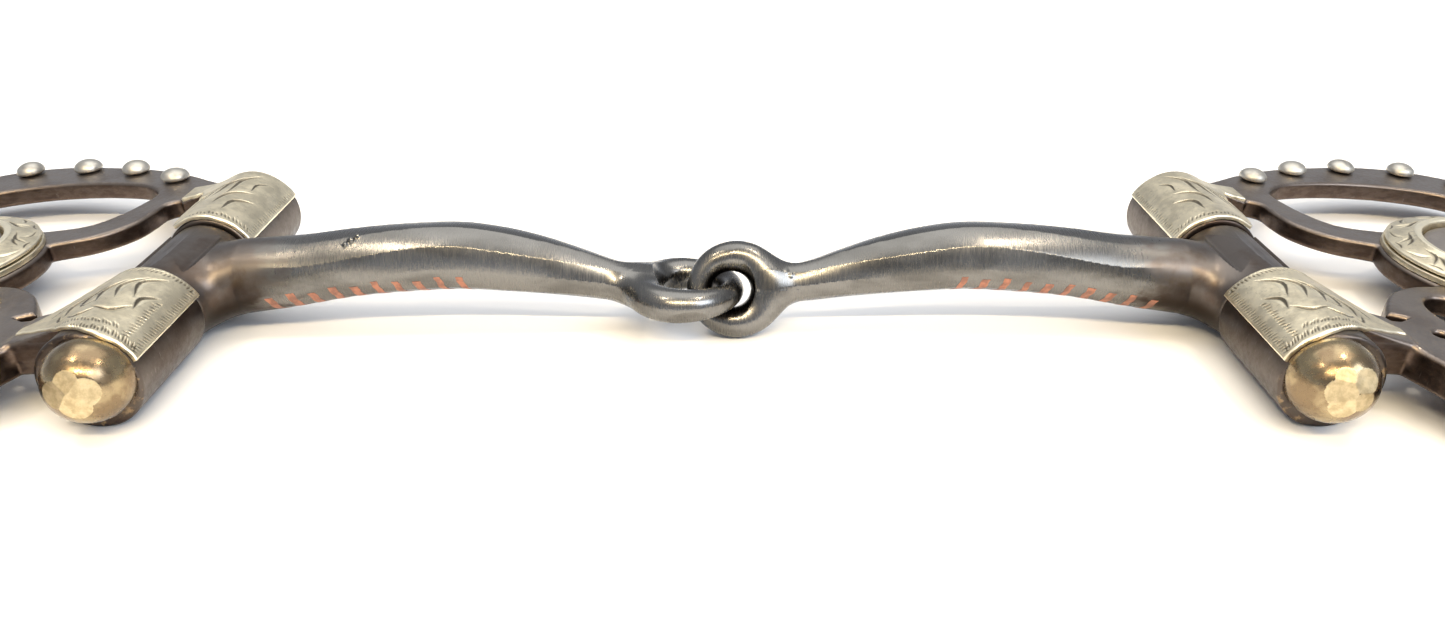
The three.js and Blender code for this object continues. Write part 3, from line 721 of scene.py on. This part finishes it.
def sheet_faces(rows, columns):
    """Closed sheet from two grids of points, the lower one first, with walls between their edges."""
    below = net(rows, columns)
    above = below[:, ::-1] + rows * columns
    edge = np.array([
        *range(columns),
        *range(2 * columns - 1, rows * columns, columns),
        *range(rows * columns - 2, (rows - 1) * columns - 1, -1),
        *range((rows - 2) * columns, 0, -columns),
    ])
    following = np.roll(edge, -1)
    walls = np.stack([following, edge, edge + rows * columns, following + rows * columns], axis=1)
    return np.vstack([below, above, walls])


# ---- cheek hardware ----
def hinge_tube(side, steel):
    """Two knuckles and the strap that joins them outboard of the sleeve."""
    def field(x, y, z):
        radial = np.hypot(x, z)
        wall = common(radial - BARREL.radius, BARREL.bore - radial)
        near = slab(wall, common(BARREL.near_end - y, y - BARREL.near_stop), EDGE.tube)
        far = slab(wall, common(BARREL.far_stop - y, y - BARREL.far_end), EDGE.tube)
        angle = np.degrees(np.arctan2(z, x))
        sides = common(STRAP.start - angle, angle - STRAP.end) * math.pi / 180 * BARREL.radius
        band = common(radial - STRAP.outer, STRAP.inner - radial)
        ends = (BARREL.near_stop - STRAP.lap - y, y - BARREL.far_stop - STRAP.lap)
        strap = slab(common(sides, *ends), band, EDGE.strap)
        return join(np.minimum(near, far), strap, FILLET.strap)

    low = (-BARREL.radius, BARREL.near_end, -BARREL.radius)
    high = (STRAP.outer, BARREL.far_end, BARREL.radius)
    points, quads, normals = carve(field, low, high, step=0.22)
    # the brass colour rubbed off round the near end
    rim = ramp(points[:, 1], BARREL.near_end + 0.9, BARREL.near_end + 0.3)
    rim = rim * ramp(np.hypot(points[:, 0], points[:, 2]), 4.6, 5.2)
    piece(side, "cheek", "hinge_tube_fine", "hinge_tube", steel, points, quads, normals, rim)


def hinge_pin(side, steel):
    """The pin, from inside the ball to its flat head at the far end."""
    start, head = BARREL.near_end - 2, BARREL.far_end + 0.3
    end = head + PIN.thick
    profile = rounded([
        (0, start), (PIN.radius, start), (PIN.radius, head), (PIN.head, head),
        (PIN.head * 0.85, end), (0, end),
    ], EDGE.pin)
    points, faces = turned(profile, 64)
    piece(side, "cheek", "hinge_pin_fine", "hinge_pin", steel, points, faces)


def ball_finial(side, brass):
    """A ball on the end of the barrel, with overlapping round flats filed about its pole."""
    radius = BALL.radius
    seat = BALL.rim + 0.5
    polar = np.linspace(0, math.pi / 2 + math.asin(seat / radius), 80)
    profile = [(radius * math.sin(a), -radius * math.cos(a)) for a in polar]
    points, faces = turned([*profile, (0, seat)], 144)
    pole = np.array(BALL_POLE) / np.linalg.norm(BALL_POLE)
    first = np.cross(pole, (0, 0, 1))
    first /= np.linalg.norm(first)
    second = np.cross(pole, first)
    cut = np.zeros(len(points))
    for turn, lean, spread in np.radians(BALL_FLATS[side]):
        away = first * math.cos(turn) + second * math.sin(turn)
        facing = pole * math.cos(lean) + away * math.sin(lean)
        above = points @ facing - radius * math.cos(spread)
        flat = above > 0
        points[flat] -= above[flat, None] * facing
        cut[flat] = 1
    points += (-BALL.inboard, BARREL.near_end - 0.3 - BALL.rim, BALL.lift)
    piece(side, "cheek", "ball_finial_fine", "ball_finial", brass, points, faces[:, ::-1], cut=cut)


def plate_outline():
    """Signed distance to the outline of the whole cheek plate, seen from its face."""
    loop_outer = flowing(LOOP_OUTER, 180, closed=True)
    loop_inner = flowing(LOOP_INNER, 140, closed=True)
    shank = np.vstack([flowing(SHANK, 200), NECK])
    corner, step = (0, -108), 0.2
    x = np.arange(corner[0], 66, step)[:, None]
    y = np.arange(corner[1], 50, step)[None, :]
    loop = common(outline_distance(x, y, loop_outer), -outline_distance(x, y, loop_inner))
    seat = np.hypot(x - CONCHO.x, y - CONCHO.y) - CONCHO.seat
    oval = np.hypot((x - WINDOW.x) / WINDOW.half_x, (y - WINDOW.y) / WINDOW.half_y)
    window = (oval - 1) * WINDOW.half_x
    pinhole = np.hypot(x - PINHOLE.x, y - PINHOLE.y) - PINHOLE.radius
    shank = common(outline_distance(x, y, shank), -window, -pinhole)
    whole = join(join(loop, seat, FILLET.plate), shank, FILLET.plate)
    return interpolated(whole, corner, step)


def plate_shape():
    """The plate with its rein boss and the weld under its cuffs, the same for both sides."""
    flat = plate_outline()

    def field(x, y, z):
        neck = ramp(-y, -LOBE_END - 0.5, -LOBE_END + 0.5)
        thick = neck * np.maximum(ramp(x, PLATE.neck_x - 0.5, PLATE.neck_x + 0.5),
                                  ramp(-y, -PLATE.neck_y - 0.5, -PLATE.neck_y + 0.5))
        back = PLATE.back + (PLATE.neck_back - PLATE.back) * neck
        back = back + (PLATE.shank_back - PLATE.neck_back) * thick
        body = slab(flat(x, y), common(back - z, z - PLATE.face), EDGE.plate)
        out, ahead, up = x - REIN_BOSS.x, y - REIN_BOSS.y, z - REIN_BOSS.lift
        body = join(body, np.sqrt(out ** 2 + ahead ** 2 + up ** 2) - REIN_BOSS.radius, FILLET.boss)
        for low, high, tail, fillet in WELDS:
            body = join(body, weld_wedge(x, y, z, low, high, tail), fillet)
        hole = np.hypot(ahead, up) - REIN_BOSS.hole
        hole = hole - REIN_BOSS.flare * np.maximum(np.abs(out) - REIN_BOSS.throat, 0)
        barrel = np.hypot(x, z) - BARREL.radius + 0.1
        return common(body, -hole, -barrel)

    points, quads, normals = carve(field, (0.5, -104.5, -4.8), (59.6, 43.8, 6.2), step=0.27)
    # the rounded edges of the face, which the finish darkens as painted shade to dim their highlights
    level = normals[:, 2]
    high_up = points[:, 2] > PLATE.face - EDGE.plate - 0.1
    edges = np.where((level > 0.25) & (level < 0.9) & high_up, 1.0, 0.0)
    return points, quads, normals, edges


# ---- engraving ----
def groove(u, v, line, width):
    """Tapering V cut along a line of (u, v) points, from 0 at its edges to 1 in its middle."""
    line = np.array(line, float)
    best = np.zeros(u.shape)
    count = len(line) - 1
    near = (u > line[:, 0].min() - width) & (u < line[:, 0].max() + width)
    near &= (v > line[:, 1].min() - width) & (v < line[:, 1].max() + width)
    u, v = u[near], v[near]
    deepest = np.zeros(u.shape)
    for i, (a, b) in enumerate(zip(line, line[1:])):
        step = b - a
        t = np.clip(((u - a[0]) * step[0] + (v - a[1]) * step[1]) / (step @ step), 0, 1)
        away = np.hypot(u - a[0] - t * step[0], v - a[1] - t * step[1])
        swell = np.sin(np.pi * np.clip((i + t) / count, 0.04, 0.96)) ** 0.6
        deepest = np.maximum(deepest, swell * np.clip(1 - away / (width * swell), 0, 1))
    best[near] = deepest
    return best


def engraved(u, v, cuts):
    """(depth, tarnish) at (u, v) for cuts of (line, half width, depth, tarnish)."""
    depth = np.zeros(u.shape)
    tarnish = np.zeros(u.shape)
    for line, width, deep, dark in cuts:
        share = groove(u, v, line, width)
        depth = np.maximum(depth, share * deep)
        tarnish = np.where(share > 0.05, tarnish + dark * np.sqrt(share), tarnish)
    return depth, np.clip(tarnish, -0.5, 1)


def curl(start, bulge, end, points=9):
    """A plain curved stroke through three places."""
    return flowing([start, bulge, end], points)


def leaf(start, bulge, end, width):
    """A leaf as the graver leaves it: a bright broad scoop behind a thin dark edge."""
    inner = tuple(b - 0.45 * width * s for b, s in zip(bulge, (1, 0.4)))
    return [(curl(start, inner, end), width, 0.17, -0.55), (curl(start, bulge, end), 0.28, 0.22, 1.35)]


def hatch(places, length, lean, tarnish):
    """A border of short parallel cuts, a little uneven."""
    cuts = []
    for k, (u, v) in enumerate(places):
        reach = 1 + 0.22 * math.sin(k * 2.1)
        end = (u + length[0] * reach + lean[0], v + length[1] * reach + lean[1])
        cuts.append(([(u, v), end], 0.15, 0.11, tarnish))
    return cuts


# Designs in shares of a cuff: u runs from inboard out to the tail, v from near to far.
# row: first place, step to the next, then bulge, end and half width of each of its leaves
# leaves: three places, half width; strokes: three places, half width, depth, tarnish
# borders: which share is fixed, at what, from, to and step of the other, length, lean, tarnish
NEAR_DESIGN = {
    "row": ((0.20, 0.88), (0.095, -0.05), (0.11, -0.13), (0.07, -0.34), 0.6),
    "leaves": [
        ((0.15, 0.64), (0.23, 0.54), (0.22, 0.40), 0.5), ((0.24, 0.42), (0.33, 0.32), (0.45, 0.36), 0.5),
        ((0.40, 0.33), (0.50, 0.24), (0.60, 0.32), 0.5), ((0.56, 0.30), (0.66, 0.30), (0.72, 0.44), 0.45),
    ],
    "strokes": [
        ((0.44, 0.50), (0.52, 0.42), (0.60, 0.50), 0.20, 0.14, 0.9),
        ((0.60, 0.50), (0.58, 0.62), (0.48, 0.58), 0.18, 0.12, 0.8),
        ((0.68, 0.66), (0.76, 0.56), (0.79, 0.42), 0.20, 0.14, 1.0),
    ],
    "borders": [
        ("u", 0.022, (0.05, 0.97, 0.030), 1.0, -0.5, 0.5), ("u", 0.115, (0.12, 0.60, 0.034), 0.9, -0.4, 0.6),
        ("v", 0.025, (0.05, 0.90, 0.020), 1.1, 0.3, 0.55), ("v", 0.125, (0.20, 0.62, 0.020), 0.9, 0.4, 0.5),
        ("v", 0.975, (0.05, 0.60, 0.026), -0.8, 0.2, 0.5),
    ],
}
FAR_DESIGN = {
    "row": ((0.28, 0.90), (0.085, -0.045), (0.11, -0.13), (0.09, -0.42), 0.5),
    "leaves": [
        ((0.22, 0.56), (0.34, 0.50), (0.36, 0.28), 0.5), ((0.15, 0.42), (0.25, 0.36), (0.27, 0.16), 0.45),
    ],
    "strokes": [
        ((0.20, 0.80), (0.26, 0.72), (0.25, 0.60), 0.20, 0.14, 1.0),
        ((0.74, 0.78), (0.83, 0.70), (0.84, 0.52), 0.20, 0.14, 1.0),
    ],
    "borders": [
        ("u", 0.018, (0.06, 0.95, 0.035), 0.9, -0.25, 0.5),
        ("v", 0.035, (0.06, 0.60, 0.024), 1.0, 0.3, 0.55),
    ],
}


def design_cuts(length, low, high, row, leaves, strokes, borders):
    """The cuts of a cuff's design, at its real size."""
    def at(share):
        return share[0] * length, low + (high - low) * share[1]
    cuts = []
    first, step, bulge, end, width = row
    for k in range(5):
        x, y = first[0] + step[0] * k, first[1] + step[1] * k
        cuts += leaf(at((x, y)), *(at((x + p[0], y + p[1])) for p in (bulge, end)), width)
    for *line, width in leaves:
        cuts += leaf(*map(at, line), width)
    for *line, width, depth, dark in strokes:
        cuts.append((curl(*map(at, line)), width, depth, dark))
    for fixed, share, spread, reach, lean, dark in borders:
        order = 1 if fixed == "u" else -1
        places = [at((share, t)[::order]) for t in np.arange(*spread)]
        cuts += hatch(places, (reach, 0)[::order], (0, lean)[::order], dark)
    return cuts


def cuff_lines(tail):
    """The cuff's inner line, (x, z): first running straight out over the plate, then hugging the barrel."""
    inner = BARREL.radius + CUFF.gap
    top = PLATE.face + CUFF.gap

    def arc(to):
        turns = np.radians(np.linspace(CUFF.start, to, 11))
        return [(inner * math.cos(a), inner * math.sin(a)) for a in turns]
    leaving = arc(CUFF.leave)
    x, z = leaving[-1]
    run_out = []
    for t in (0.25, 0.5, 0.75, 1):
        run_out.append((x + (tail - x) * t, z + (top - z) * t - CUFF.sag * math.sin(math.pi * t)))
    hugging = [*arc(CUFF.wrap), (5.3, 4.2), (7.2, top), (8.8, top), (tail, top)]
    return flowing([*leaving, *run_out], 200), flowing(hugging, 200)


def cuff(side, silver, name, edges, tail, wrapped, design):
    """A thin engraved sheet soldered over the knuckle and out onto the plate.

    edges gives its two ends along the barrel at each x, and wrapped says where along y it hugs the barrel.
    """
    straight, hugging = cuff_lines(tail)
    run = np.concatenate([[0], np.cumsum(np.linalg.norm(np.diff(straight, axis=0), axis=1))])
    low, high = np.array([edges(x) for x in straight[:, 0]], float).T
    low = low + 0.10 * np.sin(run * 1.1) + 0.05 * np.sin(run * 2.7)
    high = high + 0.08 * np.sin(run * 0.9 + 2)
    columns = 180
    y = low[:, None] + (high - low)[:, None] * np.linspace(0, 1, columns)[None, :]
    share = wrapped(y)[:, :, None]
    line = straight[:, None, :] * (1 - share) + hugging[:, None, :] * share
    sheet = np.stack([line[:, :, 0], y, line[:, :, 1]], axis=-1)
    up = np.cross(np.gradient(sheet, axis=0), np.gradient(sheet, axis=1))
    up /= np.linalg.norm(up, axis=2)[:, :, None]
    u = np.repeat(run[:, None], columns, axis=1)
    depth, tarnish = engraved(u, y, design_cuts(run[-1], low[:20].mean(), high[:20].mean(), **design))
    from_ends = np.minimum(y - low[:, None], high[:, None] - y)
    rim = np.minimum(from_ends, np.minimum(u, run[-1] - u))
    fall = 0.16 * (1 - np.clip(rim / 0.22, 0, 1)) ** 2
    swell = 0.05 * np.sin(u * 0.8 + 1) * np.sin(y * 0.5)
    height = CUFF.thick + swell * np.clip(rim, 0, 1) - fall - depth
    layers = (sheet + up * lift[:, :, None] for lift in (0 * height, height))
    points = np.concatenate([layer.reshape(-1, 3) for layer in layers])
    shade = np.where(rim < 0.16, -0.5, tarnish).reshape(-1)
    piece(side, "cheek", f"{name}_engraved", name, silver,
          points, sheet_faces(len(run), columns), cut=np.concatenate([0 * shade, shade]))


def weld_wedge(x, y, z, low, high, tail):
    """The weld that fills in under a cuff, from the barrel's shoulder down to the plate."""
    angle = math.radians(CUFF.leave)
    shoulder = BARREL.radius * np.array([math.cos(angle), math.sin(angle)])
    run = np.array([tail, PLATE.face]) - shoulder
    run /= np.linalg.norm(run)
    above = (z - shoulder[1]) * run[0] - (x - shoulder[0]) * run[1]
    ends = common(low - y, y - high, shoulder[0] - x, x - tail)
    return slab(ends, common(above, PLATE.back + 1 - z), EDGE.weld)


def near_edges(x):
    """Where the near cuff begins and ends along the barrel: it narrows out towards its tail."""
    near, far = BARREL.near_end + 0.4, BARREL.near_stop
    start, tail = NEAR_CUFF.taper, NEAR_CUFF.tail
    taper = 0.5 * ramp(x, start, tail) + 0.5 * np.clip((x - start) / (tail - start), 0, 1)
    return near + (NEAR_CUFF.near - near) * ramp(x, -3, 10), far + (NEAR_CUFF.far - far) * taper


def far_edges(x):
    """The same for the far cuff, which turns off to the far side."""
    near, far = BARREL.far_stop + 0.1, BARREL.far_end - 0.7
    low = near + (FAR_CUFF.near - near) * ramp(x, 2, 6.8)
    return low, far + (FAR_CUFF.far - far) * ramp(x, 4, FAR_CUFF.tail)


# ---- concho, studs and rings ----
def concho_piece(side, look, name, finish, points, faces, cut=None):
    points = points + (CONCHO.x, CONCHO.y, PLATE.face)
    piece(side, "cheek", f"concho_{name}_{look}", f"concho_{name}", finish, points, faces, cut=cut)


def ring_profile(low):
    """The ring's section; its slope has close points, as it carries the engraving."""
    hole, radius, top = CONCHO.hole, CONCHO.radius, low + CONCHO.rise
    smooth = rounded([
        (hole, low), (radius, low), (radius, low + CONCHO.edge * 0.7), (radius - 0.5, low + CONCHO.edge),
        (hole + 1.1, top - 0.25), (hole + 0.9, top), (hole + 0.2, top), (hole, top - 0.3), (hole, low),
    ], 0.22)
    reach = np.linspace(radius - 0.6, hole + 1.3, 46)
    level = np.interp(reach, [hole + 1.1, radius - 0.5], [top - 0.25, low + CONCHO.edge])
    on_slope = (smooth[:, 0] <= radius - 0.55) & (smooth[:, 0] >= hole + 1.25) & (smooth[:, 1] >= low + 0.3)
    first = np.argmax(on_slope)
    return np.vstack([smooth[:first], np.column_stack([reach, level]), smooth[first:][~on_slope[first:]]])


def concho_ring(side, silver, low):
    """The conical ring, with the same scroll cut over and over round it."""
    hole, radius = CONCHO.hole, CONCHO.radius
    points, faces = turned(ring_profile(low), 640, axis="z")
    angle = np.arctan2(points[:, 1], points[:, 0])
    reach = np.hypot(points[:, 0], points[:, 1])
    on_top = (points[:, 2] > low + 0.35) & (reach > hole + 1.2) & (reach < radius - 0.4)
    share = 2 * math.pi / CONCHO.scrolls
    middle = 12.6
    u = np.mod(angle, share) * middle
    v = reach - hole - 1.3
    width = share * middle
    scroll = [
        *leaf((0.10 * width, 0.3), (0.50 * width, 0.5), (0.70 * width, 2.2), 0.40),
        *leaf((0.30 * width, 0.2), (0.66 * width, 0.5), (0.86 * width, 1.6), 0.36),
        *leaf((0.05 * width, 2.5), (0.35 * width, 1.9), (0.45 * width, 1.1), 0.36),
        (curl((0.60 * width, 2.6), (0.80 * width, 2.3), (0.95 * width, 2.6)), 0.18, 0.10, 0.8),
    ]
    depth, tarnish = engraved(u, v, scroll)
    points[:, 2] -= depth * on_top
    bead = (reach < hole + 1.0) & (points[:, 2] > low + CONCHO.rise - 0.2)
    edge = (reach > radius - 0.2) & (points[:, 2] > low + 0.2)
    shade = 0.8 * tarnish * on_top - 0.45 * bead - 0.3 * edge
    concho_piece(side, "engraved", "ring", silver, points, faces, shade)


def concho(side, silver, steel):
    """Backing plate, engraved ring and centre, one on the other."""
    radius, hole, back = CONCHO.radius, CONCHO.hole, CONCHO.back
    low = back + CONCHO.gap
    backing = rounded([(0, 0.02), (radius + 0.2, 0.02), (radius + 0.15, back), (0, back)], 0.18)
    concho_piece(side, "fine", "back", silver, *turned(backing, 180, axis="z"))
    concho_ring(side, silver, low)
    dome = [(0, low), (hole - 0.25, low), (hole - 0.3, low + 0.75), (hole - 1.2, low + 1.05), (0, low + 1.2)]
    concho_piece(side, "fine", "centre", steel, *turned(rounded(dome, 0.35), 120, axis="z"))


def studs(side, nickel):
    """Bright domes along the loop, each tucked in a little under its widest place."""
    waist, tuck = STUD.waist, math.radians(STUD.tuck)
    for i, (x, y) in enumerate(STUD_PLACES):
        radius = STUD.radius * dice.uniform(0.97, 1.03)
        height = STUD.height * dice.uniform(0.95, 1.05)
        profile = [(0, 0.02)]
        for a in np.radians(np.linspace(-STUD.tuck, 90, 30)):
            swell = height - waist if a > 0 else waist / math.sin(tuck)
            profile.append((radius * math.cos(a), waist + 0.02 + swell * math.sin(a)))
        points, faces = turned(profile, 72, axis="z")
        lean = dice.uniform(-0.05, 0.05)
        points[:, 2] += points[:, 0] * lean
        points += (x + dice.uniform(-0.15, 0.15), y + dice.uniform(-0.15, 0.15), PLATE.face + 0.03)
        piece(side, "cheek", f"stud_dome_{i + 1}", f"stud_{i + 1}", nickel, points, faces)


def rein_ring(side, iron):
    """The loose ring, leaning from its boss down to the table."""
    reach, wire = REIN_RING.radius, REIN_RING.wire
    rows, columns = 180, 36
    lean = math.asin((boss[2] - wire) / (2 * reach))
    turn = np.linspace(0, 2 * math.pi, rows, endpoint=False)[:, None]
    around = np.linspace(0, 2 * math.pi, columns, endpoint=False)[None, :]
    section = wire * (1 + 0.012 * np.sin(3 * around + 2 * turn))
    out = reach + section * np.cos(around)
    x = np.sin(turn) * out
    y = np.cos(turn) * out - reach
    z = section * np.sin(around) + 0 * turn
    y, z = y * math.cos(lean) - z * math.sin(lean), y * math.sin(lean) + z * math.cos(lean)
    points = np.stack([x, y, z], axis=-1).reshape(-1, 3) + (boss[0], boss[1] - HINGE_Y, boss[2])
    faces = net(rows, columns, wrap_rows=True, wrap_columns=True)
    piece(side, "ring", "rein_ring_fine", "rein_ring", iron, points, faces)


# ---- the bit ----
metal = Named(
    iron=sweet_iron(),
    ring=sweet_iron_ring(),
    tube=brown_steel("brown_steel_tube", (0.105, 0.088, 0.077), (0.065, 0.047, 0.038), 0.36),
    centre=brown_steel("brown_steel_centre", (0.34, 0.305, 0.275), (0.27, 0.235, 0.208), 0.42),
    plate=plate_steel(),
    silver=german_silver(),
    nickel=bright_nickel(),
    brass=tarnished_brass(),
    copper=copper(),
)
plate = plate_shape()
for side in SIDES:
    arm(side, metal.iron)
    inlays(side, metal.copper)
    hinge_tube(side, metal.tube)
    hinge_pin(side, metal.tube)
    ball_finial(side, metal.brass)
    piece(side, "cheek", "cheek_plate_fine", "cheek_plate", metal.plate, *plate)
    cuff(side, metal.silver, "cuff_near", near_edges, NEAR_CUFF.tail, lambda y: 0 * y, NEAR_DESIGN)
    cuff(side, metal.silver, "cuff_far", far_edges, FAR_CUFF.tail, lambda y: 1 - ramp(y, 13, 20), FAR_DESIGN)
    concho(side, metal.silver, metal.centre)
    studs(side, metal.nickel)
    rein_ring(side, metal.ring)


# ---- table, lights and camera ----
TABLE_HALF = 3.0
MIDDLE = (0, HINGE_Y * MM, 0.01)
LAMP_COLOUR = (1.0, 0.84, 0.62)
# name, place and size in metres, watts, colour; all are aimed at the middle of the mouth
LIGHTS = [
    ("lamp_left", (-0.147, -0.02, 0.26), (0.020, 0.020), 0.16, LAMP_COLOUR),
    ("lamp_right", (0.123, 0.01, 0.28), (0.020, 0.020), 0.16, LAMP_COLOUR),
    ("strip", (0.0, -0.22, 0.30), (0.40, 0.006), 1.7, (1.0, 0.80, 0.50)),
    ("window", (0.75, -0.55, 0.70), (0.6, 0.5), 7, (0.80, 0.88, 1.0)),
    ("softbox", (0, 0.35, 1.3), (1.6, 1.2), 10.5, (1.0, 0.98, 0.94)),
]
# place in millimetres, y measured from the hinge joint, and degrees up from looking straight down
CAMERA = Named(place=(1.346, -131.03, 68.75), pitch=62.604, lens=27.0, sensor=36.0)


def table_top():
    """A pale table far wider than the bit."""
    mesh = bpy.data.meshes.new("table_top")
    half = TABLE_HALF
    corners = [(-half, -half, 0), (half, -half, 0), (half, half, 0), (-half, half, 0)]
    mesh.from_pydata(corners, [], [(0, 1, 2, 3)])
    f = Finish("pale_table", None, (0.90, 0.90, 0.90), 0.7, 0.0)
    f.patchy(0.02, 3, 0.4, 0.7, (0.87, 0.875, 0.885))
    f.bump(f.noise(0.8, 4), 0.02, 0.3)
    mesh.materials.append(f.done().material)
    floor = added("table_top", mesh)


def area_light(name, place, size, watts, colour):
    lamp = bpy.data.lights.new(name, "AREA")
    lamp.shape = "RECTANGLE"
    lamp.size, lamp.size_y = size
    lamp.energy = watts
    lamp.color = colour
    obj = added(name, lamp)
    obj.location = place
    obj.rotation_euler = (Vector(MIDDLE) - Vector(place)).to_track_quat("-Z", "Y").to_euler()


def room():
    """A bright ceiling over a dimmer room, so that the metal has something to reflect."""
    world = bpy.data.worlds.new("room")
    world.use_nodes = True
    nodes, links = world.node_tree.nodes, world.node_tree.links
    direction = nodes.new("ShaderNodeTexCoord").outputs["Generated"]
    split = nodes.new("ShaderNodeSeparateXYZ")
    links.new(direction, split.inputs[0])
    ramp_node = nodes.new("ShaderNodeValToRGB")
    links.new(split.outputs[2], ramp_node.inputs[0])
    stops = ramp_node.color_ramp.elements
    stops[0].position, stops[0].color = 0.0, (0.72, 0.77, 0.86, 1)
    stops[1].position, stops[1].color = 1.0, (0.78, 0.80, 0.84, 1)
    for place, colour in ((0.30, (0.40, 0.415, 0.45, 1)), (0.62, (0.57, 0.59, 0.63, 1))):
        stops.new(place).color = colour
    background = nodes["Background"]
    links.new(ramp_node.outputs[0], background.inputs["Color"])
    background.inputs["Strength"].default_value = 1.0
    bpy.context.scene.world = world


def camera():
    """Low over the ball finials, looking across the mouthpiece."""
    data = bpy.data.cameras.new("camera")
    data.lens = CAMERA.lens
    data.sensor_width = CAMERA.sensor
    data.clip_start = 0.005
    obj = added("camera", data)
    x, y, z = CAMERA.place
    obj.location = (x * MM, (HINGE_Y + y) * MM, z * MM)
    obj.rotation_euler = (math.radians(CAMERA.pitch), 0, 0)
    bpy.context.scene.camera = obj


table_top()
room()
for light in LIGHTS:
    area_light(*light)
camera()
bpy.context.scene.view_settings.view_transform = "Standard"
